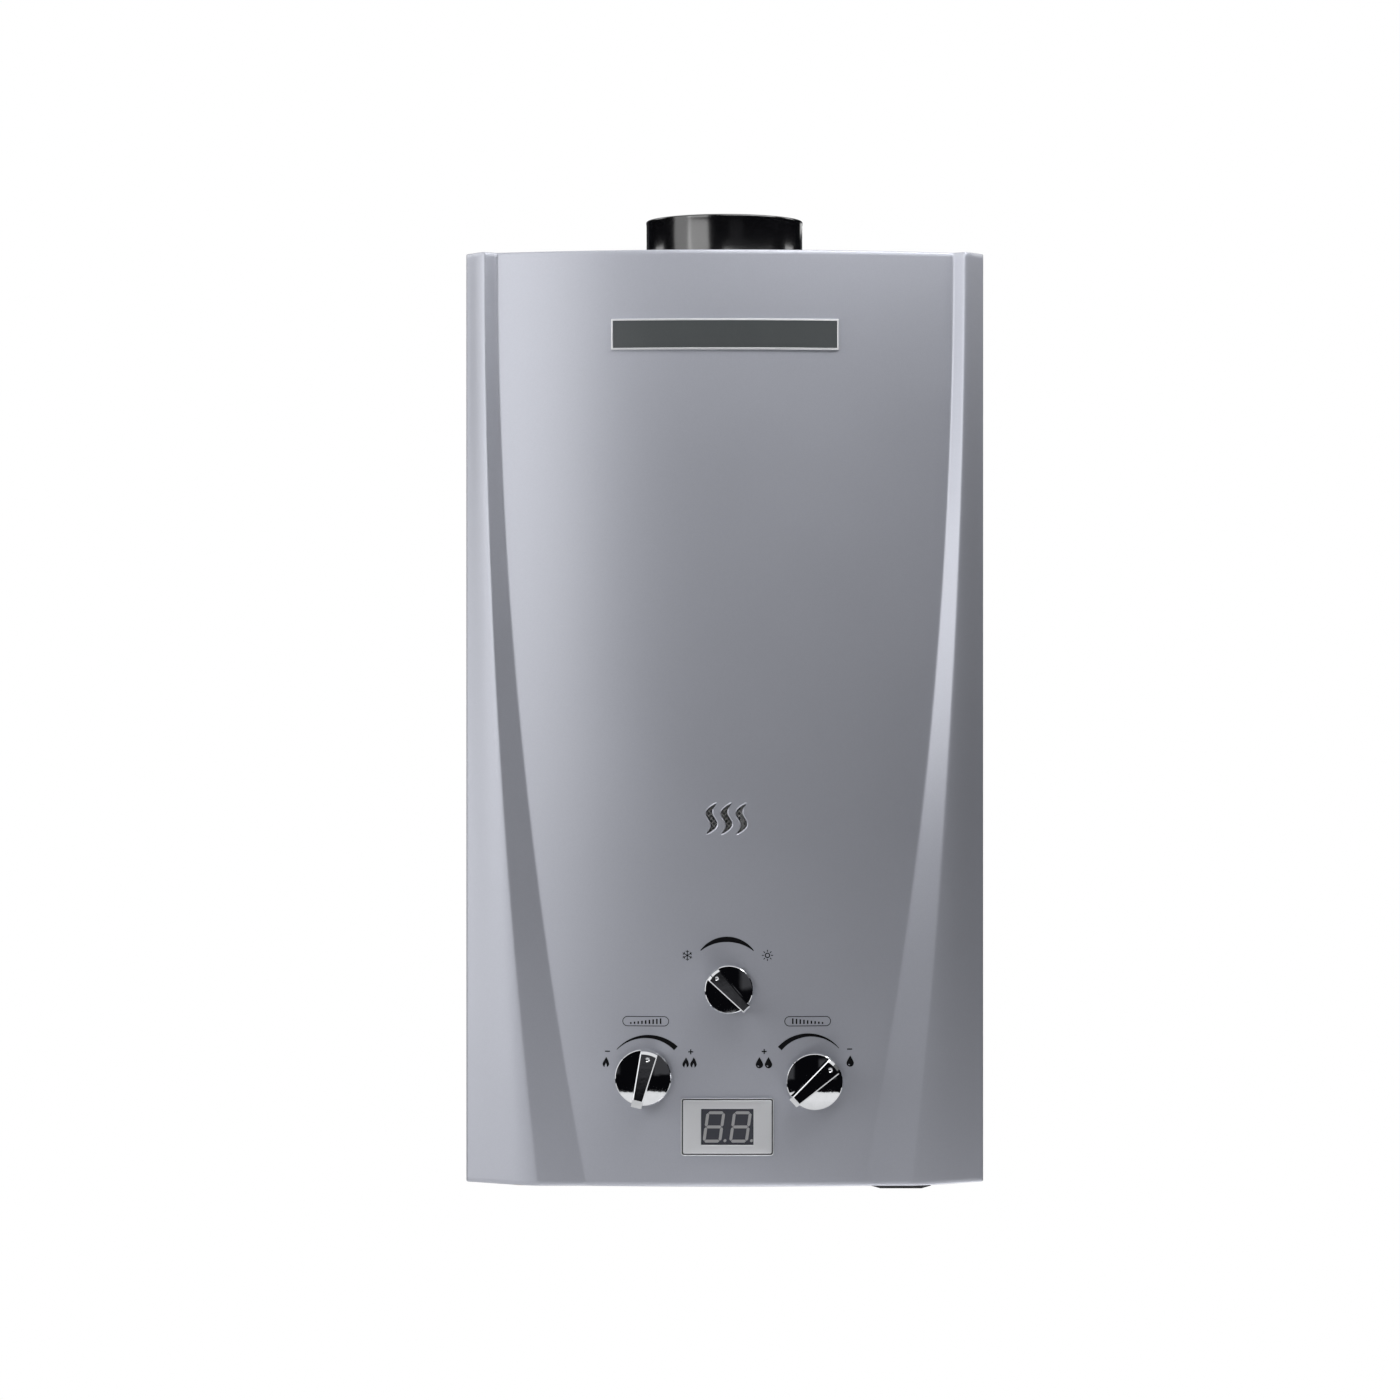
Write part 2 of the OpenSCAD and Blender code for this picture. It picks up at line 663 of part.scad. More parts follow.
// Flat pressed burners on edge, each with a mouth facing its nozzle and slots along its top.
module burner_bars() {
    bar_w = 11;
    bar_d = stack_d - 8;
    bar_z0 = burner_z0 + 3;
    bar_z1 = 322;
    slots = 9;
    skin = 0.7;
    color(steel) hung()
        for (i = [0:burner_count - 1]) translate([burner_x(i), stack_y, 0]) difference() {
            translate([-bar_w / 2, -bar_d / 2, bar_z0]) cube([bar_w, bar_d, bar_z1 - bar_z0]);
            translate([-bar_w / 2 + skin, -bar_d / 2 + skin, bar_z0 + skin])
                cube([bar_w - 2 * skin, bar_d - 2 * skin, bar_z1 - bar_z0 - 2 * skin]);
            facing_front(0, -bar_d / 2 + 30, manifold_z) cylinder(d = 8, h = 40);
            for (s = [0:slots - 1])
                translate([-2.5, (s - (slots - 1) / 2) * 9 - 1, bar_z1 - 8]) cube([5, 2, 10]);
        }
}

manifold_d = 14;

// Two gas rails end to end, with a solid divider between the winter and summer burners.
module gas_manifold() {
    rail_l = 2 * 102;
    color(cast_alloy) hung() difference() {
        union() {
            along_x(-rail_l / 2, manifold_y, manifold_z) cylinder(d = manifold_d, h = rail_l);
            for (x = [-84, 84])
                translate([x - 5, manifold_y, manifold_z - 6])
                    cube([10, stack_y - stack_d / 2 - manifold_y, 12]);
        }
        for (side = [-1, 1])
            along_x(side < 0 ? -rail_l / 2 + 3 : 4, manifold_y, manifold_z)
                cylinder(d = manifold_d - 4, h = rail_l / 2 - 7);
        for (i = [0:burner_count - 1])
            facing_front(burner_x(i), manifold_y + manifold_d, manifold_z) cylinder(d = 5, h = manifold_d);
        for (x = riser_xs)
            translate([x, manifold_y, manifold_z - manifold_d]) cylinder(d = 10.2, h = manifold_d);
    }
}

module gas_nozzles() {
    color(brass) hung()
        for (i = [0:burner_count - 1])
            translate([burner_x(i), manifold_y, manifold_z]) rotate([-90, 0, 0]) difference() {
                union() {
                    translate([0, 0, manifold_d / 2 - 1.6]) cylinder(d = 4.8, h = 4);
                    translate([0, 0, manifold_d / 2 + 0.2]) cylinder(d = 8, h = 2.6, $fn = 6);
                    translate([0, 0, manifold_d / 2 + 2.8]) cylinder(d = 4, h = 3);
                }
                translate([0, 0, manifold_d / 2 - 3]) cylinder(d = 1.2, h = 12);
            }
}

riser_xs = [-9, 13];
riser_y0 = -80;
season_z0 = 112;
season_z1 = 152;

// Gas tubes: one from the gas valve to the season valve, two from there up to the manifold.
module gas_tubes() {
    color(cast_alloy) hung() {
        bent_pipe([[transfer_x, stack_y, gas_z1], [transfer_x, stack_y, season_z],
                   [season_x - 25, stack_y, season_z]], 14, 9, 1.5);
        for (x = riser_xs)
            bent_pipe([
                [x, riser_y0, season_z1], [x, riser_y0, 200],
                [x, manifold_y, 230], [x, manifold_y, manifold_z - manifold_d / 2 + 2.4]
            ], 10, 12, 1.2);
    }
}

// Round seat for a turning plug: a boss on the front of a valve, bored for plug and spindle.
module cock_boss(x, z, d) {
    facing_front(x, valve_front_y + 1, z) cylinder(d = d, h = valve_front_y + 1 - boss_front_y);
}

module cock_bore(x, z) {
    facing_front(x, valve_front_y + 4, z)
        cylinder(d = plug_d + 2 * running, h = valve_front_y + 4 - boss_front_y + 1);
}

boss_d = 28;

module gas_valve_body() {
    y0 = valve_front_y;
    depth = 52;
    color(cast_alloy) hung() difference() {
        union() {
            translate([gas_x0, y0, gas_z0]) cube([gas_x1 - gas_x0, depth, gas_z1 - gas_z0]);
            cock_boss(flame_x, flame_z, boss_d);
            along_x(gas_x1 - 1, stack_y, rod_z) cylinder(d = 24, h = 5.8);
        }
        cock_bore(flame_x, flame_z);
        along_x(chamber_x, stack_y, rod_z) cylinder(d = 26, h = seat_x - chamber_x);
        along_x(seat_x - 1, stack_y, rod_z) cylinder(d = 16, h = 15);
        along_x(-40, stack_y, rod_z) cylinder(d = rod_d + 2 * running, h = 40);
        translate([flame_x, stack_y, gas_z0 - 1]) cylinder(d = 15, h = 14);
        translate([transfer_x, stack_y, gas_z1 - 20]) cylinder(d = 9, h = 22);
        translate([solenoid_x, stack_y, gas_z1 - 8]) cylinder(d = 11, h = 10);
    }
}

transfer_x = -36;
solenoid_x = -70;
chamber_x = -62;       // gas chamber behind the poppet
seat_x = -42;          // seat that the poppet closes

module season_valve_body() {
    color(cast_alloy) hung() difference() {
        union() {
            translate([season_x - 25, valve_front_y, season_z0]) cube([50, 40, season_z1 - season_z0]);
            cock_boss(season_x, season_z, boss_d);
        }
        cock_bore(season_x, season_z);
        for (x = riser_xs) translate([x, riser_y0, season_z1 - 8]) cylinder(d = 7, h = 10);
    }
}

// Plates that close the three cock bosses and guide the spindles.
module gland_plates() {
    color(brass) hung()
        for (p = [[flame_x, flame_z], [water_x, water_z], [season_x, season_z]])
            facing_front(p.x, boss_front_y, p.y) difference() {
                cylinder(d = boss_d, h = 3);
                translate([0, 0, -1]) cylinder(d = spindle_d + 2 * running, h = 5);
            }
}

function knob_back_y(x, z, d) =
    min([for (dx = [-d / 2, 0, d / 2], dz = [-d / 2, d / 2]) panel_y(x + dx, z + dz)]) - knob_gap;

spindle_grip = 12;     // how far a spindle reaches into its knob

// A plug that turns in its boss, and the flatted spindle that carries the knob.
module cock_spindle(x, z, d, turn) {
    knob_y = knob_back_y(x, z, d);
    plug_l = 28;
    flat = 1.2;
    plug_y = boss_front_y + plug_l + 0.2;
    facing_front(x, plug_y, z, turn) difference() {
        union() {
            cylinder(d = plug_d, h = plug_l);
            cylinder(d = spindle_d, h = plug_y - knob_y + spindle_grip);
        }
        translate([-spindle_d, spindle_d / 2 - flat, plug_y - knob_y + 0.5]) cube([2 * spindle_d, flat + 1, 40]);
        translate([-plug_d, -3, 6]) cube([2 * plug_d, 6, 8]);
    }
}

module flame_spindle() {
    color(brass) hung() cock_spindle(flame_x, flame_z, knob_d, flame_turn);
}

module water_spindle() {
    color(brass) hung() cock_spindle(water_x, water_z, knob_d, water_turn);
}

module season_spindle() {
    color(brass) hung() cock_spindle(season_x, season_z, season_knob_d, season_turn);
}

// Chromed knob: a skirt, a low dome, and a blade that tapers from its pointer end to its tail.
module knob(x, z, d, turn) {
    scale_d = d / knob_d;
    r = d / 2;
    skirt = 3.5;
    dome = 4;
    pointer_w = 11 * scale_d;
    tail_w = 7.2 * scale_d;
    over = 1;
    dot_d = 3.4 * scale_d;
    facing_front(x, knob_back_y(x, z, d), z, turn) difference() {
        union() {
            cylinder(r = r, h = skirt);
            translate([0, 0, skirt]) cylinder(r1 = r - 0.8, r2 = r - 7, h = dome);
            linear_extrude(knob_h) intersection() {
                polygon([[-pointer_w / 2, r + over], [pointer_w / 2, r + over],
                         [tail_w / 2, -r - over], [-tail_w / 2, -r - over]]);
                circle(r = r + over);
            }
        }
        translate([0, 0, -1]) difference() {
            cylinder(d = spindle_d + 2 * running, h = spindle_grip + 1.2);
            translate([-spindle_d, spindle_d / 2 - 1.1, 1.5]) cube([2 * spindle_d, 4, spindle_grip + 2]);
        }
        translate([0, r - 5 * scale_d, knob_h - 0.6]) cylinder(d = dot_d, h = 2);
    }
}

module flame_knob() {
    color(chrome) hung() knob(flame_x, flame_z, knob_d, flame_turn);
}

module water_knob() {
    color(chrome) hung() knob(water_x, water_z, knob_d, water_turn);
}

module season_knob() {
    color(chrome) hung() knob(season_x, season_z, season_knob_d, season_turn);
}

solenoid_h = 40;
plunger_d = 10;
plunger_l = 20;
plunger_z = gas_z1 + 8;

module solenoid_can() {
    color(steel) hung() translate([solenoid_x, stack_y, gas_z1]) difference() {
        union() {
            cylinder(d = 28, h = 3);
            cylinder(d = 26, h = solenoid_h);
        }
        translate([0, 0, -1]) cylinder(d = plunger_d + 2 * running, h = solenoid_h - 4);
    }
}

module solenoid_plunger() {
    color(steel) hung() translate([solenoid_x, stack_y, plunger_z - 12]) union() {
        cylinder(d = plunger_d - 2, h = 12.5);
        translate([0, 0, 12]) cylinder(d = plunger_d, h = plunger_l - 8);
    }
}

// A round-wire spring along +Z, swept as one closed tube.
module coil_spring(d, wire, length, turns) {
    sides = 6;
    steps = 12 * turns;
    r = d / 2;
    function ring(i) =
        let (a = 360 * turns * i / steps, z = wire / 2 + (length - wire) * i / steps)
        [for (k = [0:sides - 1])
            let (b = 360 * k / sides, q = r + wire / 2 * cos(b))
            [q * cos(a), q * sin(a), z + wire / 2 * sin(b)]];
    rings = [for (i = [0:steps]) ring(i)];
    polyhedron(
        points = [for (row = rings) each row],
        faces = concat(
            [[for (k = [sides - 1:-1:0]) k]],
            [for (i = [0:steps - 1], k = [0:sides - 1]) each
                let (a = i * sides + k, b = i * sides + (k + 1) % sides)
                [[a, b, b + sides], [a, b + sides, a + sides]]],
            [[for (k = [0:sides - 1]) steps * sides + k]]
        )
    );
}

module solenoid_spring() {
    color(steel) hung()
        translate([solenoid_x, stack_y, plunger_z + plunger_l - 7.5])
            coil_spring(7, 0.9, gas_z1 + solenoid_h - 5.5 - plunger_z - plunger_l + 7.5, 4);
}

chamber_d = 66;
diaphragm_x = 18;
cover_x0 = 4;
water_x1 = 84;

module water_valve_body() {
    color(brass) hung() difference() {
        union() {
            along_x(diaphragm_x + 1, stack_y, rod_z) cylinder(d = chamber_d, h = 19);
            translate([36, valve_front_y, 46]) cube([water_x1 - 36, 52, 52]);
            cock_boss(water_x, water_z, boss_d);
            translate([drain_x, stack_y, 16.5]) cylinder(d = 18, h = 30);
        }
        along_x(diaphragm_x, stack_y, rod_z) cylinder(d = 50, h = 9);
        cock_bore(water_x, water_z);
        translate([41, valve_front_y + 6, 51]) cube([38, 40, 42]);
        facing_front(water_x, valve_front_y + 10, water_z) cylinder(d = 8, h = 8);
        along_x(diaphragm_x + 8, stack_y, rod_z) cylinder(d = 8, h = 20);
        translate([water_x, stack_y, 40]) cylinder(d = 15, h = 20);
        translate([cold_riser_x, riser_y, gas_z1 - 10]) cylinder(d = 11, h = 12);
        translate([drain_x, stack_y, 10]) cylinder(d = 10.1, h = 40);
        bolt_circle() cylinder(d = 4.2, h = 40, center = true);
    }
}

module bolt_circle() {
    bolts = 6;
    for (i = [0:bolts - 1])
        along_x(diaphragm_x, stack_y, rod_z) rotate([0, 0, 30 + i * 360 / bolts])
            translate([chamber_d / 2 - 4.5, 0, 0]) children();
}

module water_valve_cover() {
    color(brass) hung() difference() {
        along_x(cover_x0, stack_y, rod_z) union() {
            translate([0, 0, 4]) cylinder(d = chamber_d, h = diaphragm_x - 5 - cover_x0);
            cylinder(d = 20, h = 6);
        }
        along_x(cover_x0 - 1, stack_y, rod_z) cylinder(d = rod_d + 2 * running, h = 20);
        along_x(diaphragm_x - 8, stack_y, rod_z) cylinder(d = 50, h = 9);
        bolt_circle() cylinder(d = 4.2, h = 40, center = true);
    }
}

// Rubber diaphragm clamped between the halves of the water valve, with its bolt holes.
module diaphragm() {
    color(black) hung() difference() {
        along_x(diaphragm_x - 1, stack_y, rod_z) cylinder(d = chamber_d, h = 2);
        along_x(diaphragm_x - 2, stack_y, rod_z) cylinder(d = 12, h = 4);
        bolt_circle() cylinder(d = 4.2, h = 40, center = true);
    }
}

// Rod from the diaphragm's plate to the gas poppet, with the collar that works the switch.
module push_rod() {
    poppet_x = seat_x - gap - 4;
    color(steel) hung() union() {
        along_x(poppet_x, stack_y, rod_z) cylinder(d = rod_d, h = diaphragm_x - poppet_x);
        along_x(poppet_x, stack_y, rod_z) cylinder(d = 22, h = 4);
        along_x(lever_pivot.x + 0.8, stack_y, rod_z) cylinder(d = 12, h = 3);
        along_x(diaphragm_x - 2.5, stack_y, rod_z) cylinder(d = 34, h = 1.2);
        along_x(diaphragm_x - 1.4, stack_y, rod_z) cylinder(d = 11.6, h = 2.6);
    }
}

module poppet_spring() {
    color(steel) hung() along_x(chamber_x + 0.2, stack_y, rod_z)
        coil_spring(14, 1.4, seat_x - gap - 4 - chamber_x - 0.4, 5);
}

// Cap screws through both halves of the water valve.
module valve_screws() {
    color(steel) hung()
        bolt_circle() translate([0, 0, -10.2]) union() {
            translate([0, 0, -4]) cylinder(d = 7, h = 4);
            cylinder(d = 4, h = 28);
        }
}

// Bent strap that carries both valves on the back plate.
module valve_bracket() {
    valve_back_y = valve_front_y + 52;
    color(galvanised) hung()
        for (x = [gas_x0 + 8, water_x1 - 32]) translate([x, 0, 56]) {
            translate([0, valve_back_y, 0]) cube([24, 2, 30]);
            translate([0, valve_back_y, 28]) cube([24, -sheet - valve_back_y, 2]);
            translate([0, -sheet - 2, 28]) cube([24, 2, 20]);
        }
}

switch_x = -13;
switch_z = 88;
lever_pivot = [switch_x + 1, switch_z - 1.5];

// Snap switch on an arm from the gas valve, with two ears that carry its lever.
module microswitch() {
    color(black) hung() difference() {
        union() {
            translate([switch_x - 4, stack_y - 4, switch_z]) cube([18, 8, 12]);
            translate([gas_x1, stack_y - 4, switch_z + 2]) cube([switch_x - 3 - gas_x1, 8, 8]);
            for (y = [-4, 2.6]) translate([lever_pivot.x - 1.6, stack_y + y, switch_z - 3.2]) cube([3.2, 1.4, 4]);
        }
        for (x = [0, 9])
            translate([switch_x + x, stack_y - 6, switch_z + 8]) rotate([-90, 0, 0]) cylinder(d = 2.4, h = 12);
        translate([lever_pivot.x, stack_y - 6, lever_pivot.y]) rotate([-90, 0, 0]) cylinder(d = 1.5, h = 12);
    }
}

// Spring-steel lever that hangs from the switch and meets the collar on the push rod.
module microswitch_lever() {
    lever_l = 11;
    color(steel) hung() translate([lever_pivot.x, stack_y, lever_pivot.y]) union() {
        rotate([-90, 0, 0]) cylinder(d = 1.4, h = 8, center = true);
        translate([-0.4, -2, -lever_l]) cube([0.8, 4, lever_l]);
    }
}

// Brass connection: a plain-crested half-inch thread below a shoulder, with its neck above.
module pipe_connection(x, y, neck_top) {
    color(brass) hung() translate([x, y, 0]) difference() {
        union() {
            translate([0, 0, thread_z0]) cylinder(d = thread_d, h = thread_z1 - thread_z0);
            translate([0, 0, thread_z1]) cylinder(d = 30, h = base_z - thread_z1, $fn = 6);
            translate([0, 0, base_z - 0.01]) cylinder(d = 19, h = neck_top - base_z + 0.01);
        }
        translate([0, 0, thread_z0 - 1]) cylinder(d = 13, h = neck_top - thread_z0 + 2);
    }
}

module gas_inlet() {
    pipe_connection(flame_x, stack_y, gas_z0);
}

module cold_inlet() {
    pipe_connection(water_x, stack_y, 46);
}

module hot_outlet() {
    pipe_connection(hot_x, stack_y, 36);
}

// Hand-turned drain plug: a ribbed cap on a stem that seals the foot of the water valve.
module drain_plug() {
    ribs = 16;
    color(black) hung() translate([drain_x, stack_y, 0]) union() {
        translate([0, 0, 5]) cylinder(d = 10, h = 30);
        difference() {
            translate([0, 0, -4]) cylinder(d = 22, h = 20);
            for (i = [0:ribs - 1])
                rotate([0, 0, i * 360 / ribs]) translate([11.4, 0, -5]) cylinder(d = 2, h = 30);
        }
    }
}

module igniter_box() {
    color(black) hung() difference() {
        union() {
            translate([-150, -36, 150]) cube([56, 36 - sheet, 84]);
            for (z = [144, 234]) translate([-134, -4 - sheet, z]) cube([24, 4, 6]);
        }
        for (x = [-138, -122, -106]) facing_front(x, -30, 222) cylinder(d = 5, h = 10);
    }
}

module electrode_ceramics() {
    color(ceramic) hung()
        for (x = [-electrode_x, electrode_x]) facing_front(x, -112, electrode_z) difference() {
            union() {
                cylinder(d = 7, h = 34);
                translate([0, 0, 16]) cylinder(d = 10, h = 4);
            }
            translate([0, 0, -1]) cylinder(d = 2.5, h = 40);
        }
}

module electrode_pins() {
    pin_d = 2.4;
    color(steel) hung()
        for (x = [-electrode_x, electrode_x])
            pipe_run([[x, -150, electrode_z], [x, stack_y - 10, electrode_z], [x, stack_y - 10, 326]], pin_d, 4);
}

module electrode_clamp() {
    y = stack_y - stack_d / 2;
    color(steel) hung() difference() {
        translate([-electrode_x - 9, y - 1.4, electrode_z - 5]) cube([2 * electrode_x + 18, 1.2, 10]);
        for (x = [-electrode_x, electrode_x])
            facing_front(x, y + 2, electrode_z) cylinder(d = 7.4, h = 6);
    }
}

module overheat_switch() {
    y = stack_y - stack_d / 2;
    color(black) hung() union() {
        facing_front(60, y, 530) cylinder(d = 16, h = 8);
        translate([48, y - 1.2, 524]) cube([24, 1.2, 12]);
        for (x = [55.4, 62.6]) translate([x, y - 14, 527]) cube([0.8, 7, 6]);
    }
}

module rounded_box(size, r) {
    linear_extrude(size.z) union() {
        translate([-size.x / 2 + r, -size.y / 2]) square([size.x - 2 * r, size.y]);
        translate([-size.x / 2, -size.y / 2 + r]) square([size.x, size.y - 2 * r]);
        for (x = [-1, 1], y = [-1, 1])
            translate([x * (size.x / 2 - r), y * (size.y / 2 - r)]) circle(r = r);
    }
}

box_top = base_z + sheet + 66;
hinge_y = stack_y + box_l / 2 - 3;
hinge_z = -1.4;

// Battery box that stands through the base panel on its own flange, open underneath.
module battery_box() {
    color(black) hung() translate([battery_x, stack_y, 0]) difference() {
        union() {
            translate([0, 0, lid_z1 + gap]) rounded_box([box_w, box_l, box_top - lid_z1 - gap], 4);
            translate([-box_w / 2 - 5, -box_l / 2 - 5, base_z + sheet]) cube([box_w + 10, box_l + 10, 2]);
        }
        translate([0, 0, -1]) rounded_box([box_w - 2 * box_wall, box_l - 2 * box_wall, box_top - 1], 3);
    }
}

// Lid with a low domed underside, hung from a pin along its back edge.
module battery_lid() {
    hw = box_w / 2;
    shape = [[-hw, lid_z1], [-hw, -2.6], [-hw + 2, -4.7], [-hw + 8, lid_z0],
             [hw - 8, lid_z0], [hw - 2, -4.7], [hw, -2.6], [hw, lid_z1]];
    color(black) hung() difference() {
        translate([battery_x, stack_y + box_l / 2, 0]) rotate([90, 0, 0]) linear_extrude(box_l) polygon(shape);
        translate([battery_x, stack_y, -1.4]) rounded_box([box_w - 5, box_l - 16, 10], 3);
        along_x(battery_x - box_w, hinge_y, hinge_z) cylinder(d = 2.5 + 2 * running, h = 2 * box_w);
        translate([battery_x - box_w, hinge_y - 4, hinge_z + 1.9]) cube([2 * box_w, 20, 10]);
        translate([battery_x - box_w, hinge_y + 2.6, lid_z0 - 1]) cube([2 * box_w, 20, 20]);
    }
}

module lid_pin() {
    color(steel) hung() union() {
        along_x(battery_x - box_w / 2 - 3, hinge_y, hinge_z) cylinder(d = 2.5, h = box_w + 6);
        for (side = [-1, 1])
            translate([battery_x + side * (box_w / 2 + 2) - 1, hinge_y - 3, hinge_z - 2])
                cube([2, 6, base_z - hinge_z + 2]);
    }
}

module batteries() {
    color(steel) hung()
        for (side = [-1, 1])
            translate([battery_x, stack_y + side * (battery_d / 2 + 0.4), lid_z1 + 2]) union() {
                cylinder(d = battery_d, h = battery_len - 1.5);
                cylinder(d = 9.5, h = battery_len);
            }
}

// A plate of even thickness that follows the panel's bow at one height, back_gap in front of it.
module bowed_plate(x, z, w, h, back_gap, thickness) {
    steps = 16;
    xs = [for (i = [0:steps]) x - w / 2 + w * i / steps];
    points = concat(
        [for (p = xs) [p, panel_y(p, z) - back_gap]],
        [for (i = [steps:-1:0]) [xs[i], panel_y(xs[i], z) - back_gap - thickness]]
    );
    translate([0, 0, z - h / 2]) linear_extrude(h) polygon(points);
}

display_x = controls_x - 1;

// Display bezel: a plug through the panel's cut-out, with a rim in front and a window opening.
module display_bezel() {
    plug_w = bezel_w - 5;
    plug_h = bezel_h - 5;
    color(silver) hung() difference() {
        union() {
            bowed_plate(display_x, display_z, bezel_w, bezel_h, 0.2, 1.6);
            translate([display_x - plug_w / 2, panel_y(display_x, display_z) - 0.8, display_z - plug_h / 2])
                cube([plug_w, 11, plug_h]);
        }
        translate([display_x - window_w / 2, panel_y(display_x, display_z) - 4, display_z - window_h / 2])
            cube([window_w, 20, window_h]);
        translate([display_x - plug_w / 2 + 2, panel_y(display_x, display_z) + 2.4, display_z - plug_h / 2 + 2])
            cube([plug_w - 4, 20, plug_h - 4]);
    }
}

module display_window() {
    color([0.12, 0.13, 0.15]) hung()
        translate([display_x - window_w / 2 + 0.1, panel_y(display_x, display_z) - 0.6, display_z - window_h / 2 + 0.1])
            cube([window_w - 0.2, 2.2, window_h - 0.2]);
}

module display_board() {
    y = panel_y(display_x, display_z) + 2.6;
    color([0.10, 0.32, 0.20]) hung() union() {
        translate([display_x - 17, y, display_z - 11]) cube([34, 6, 22]);
        translate([display_x - 26.95, y + 6, display_z - 15.15]) cube([53.9, 1.6, 30.3]);
    }
}

module name_plate() {
    rim = 1.6;
    color([0.36, 0.39, 0.40]) hung() difference() {
        bowed_plate(0, plate_z, plate_w, plate_h, 0.2, 2);
        bowed_plate(0, plate_z, plate_w - 2 * rim, plate_h - 2 * rim, 1.6, 2);
    }
}

// Perforated sheet behind the viewing slots.
module viewing_mesh() {
    mesh_w = 42;
    mesh_h = 26;
    hole = 1.6;
    pitch = 2.6;
    cols = 14;
    rows = 8;
    y = panel_y(mesh_w / 2 + 1, slots_z) + sheet + 0.05;
    color(black) hung() difference() {
        translate([controls_x - 1.5 - mesh_w / 2, y, slots_z - mesh_h / 2]) cube([mesh_w, 0.8, mesh_h]);
        for (i = [0:cols - 1], j = [0:rows - 1])
            translate([controls_x - 1.5 + (i - (cols - 1) / 2) * pitch - hole / 2, y - 1,
                       slots_z + (j - (rows - 1) / 2) * pitch - hole / 2])
                cube([hole, 3, hole]);
    }
}

// Leads clipped inside the casing. Each route is a list of points chosen along its real way.
spark_route = [[-138, -31, 222], [-138, -52, 223], [-130, -70, 236], [-127, -100, 262],
               [-127, -138, 296], [-108, -148, 326], [-80, -152, 334], [-52, -155.4, 338],
               [-40, -155.4, 338], [-40, -150.2, 338]];
sense_route = [[-122, -31, 222], [-122, -52, 226], [-121, -70, 240], [-121.5, -104, 258],
               [-121.5, -134, 290], [-104, -146.5, 314], [-60, -151, 320], [0, -154, 322],
               [28, -155.4, 336], [40, -155.4, 338], [40, -150.2, 338]];
battery_route = [[-106, -31, 222], [-106, -48, 220], [-91, -50, 204], [-85, -30, 185],
                 [-60, -14, 172], [0, -10, 170], [60, -14, 164], [96, -30, 130],
                 [112, -55, 104], [120, -75, 92], [120, -75, 79.4]];

module wiring_leads() {
    color([0.75, 0.25, 0.12]) hung() {
        for (route = [spark_route, sense_route, battery_route])
            swept_tube(rounded_route(route, 2, 3), 3.2, 8);
    }
}

// Pan-head screws, three through each side wall into the back plate's flanges.
module pan_screw(length) {
    cylinder(d = 3.2, h = length);
    translate([0, 0, length]) cylinder(d1 = 7.4, d2 = 5.4, h = 2.2);
}

module casing_screws() {
    color(steel) hung()
        for (side = [-1, 1], z = cover_screw_zs)
            translate([side * half_w, cover_screw_y, z]) rotate([0, side * 90, 0])
                translate([0, 0, -8]) pan_screw(8);
}

back_plate();
front_cover();
top_panel();
base_panel();
flue_collar();
draft_hood();
exchanger_jacket();
exchanger_fins();
fin_tubes();
jacket_coil();
cold_pipe();
hot_pipe();
stack_brackets();
burner_frame();
burner_bars();
gas_manifold();
gas_nozzles();
gas_tubes();
gas_valve_body();
pipe_nuts();
season_valve_body();
gland_plates();
flame_knob();
flame_spindle();
water_knob();
water_spindle();
season_knob();
season_spindle();
solenoid_can();
solenoid_plunger();
solenoid_spring();
water_valve_body();
water_valve_cover();
diaphragm();
push_rod();
poppet_spring();
valve_screws();
valve_bracket();
microswitch();
microswitch_lever();
gas_inlet();
cold_inlet();
hot_outlet();
drain_plug();
igniter_box();
electrode_ceramics();
electrode_pins();
electrode_clamp();
overheat_switch();
battery_box();
battery_lid();
lid_pin();
batteries();
display_bezel();
display_window();
display_board();
name_plate();
viewing_mesh();
wiring_leads();
casing_screws();
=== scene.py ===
# %% [markdown]
# # A wall-hung gas water heater
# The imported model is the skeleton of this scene: every solid is already in its place, in metres,
# with the wall at y = 0, the front towards -y and z up. This lesson gives it its looks. Sheet
# metal that follows a rule is grown with Geometry Nodes, turned and moulded pieces are skinned
# from rings of points, and every finish is a small node tree written as Python expressions.

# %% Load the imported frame
import json
from math import cos, hypot, pi, radians, sin, sqrt, tan

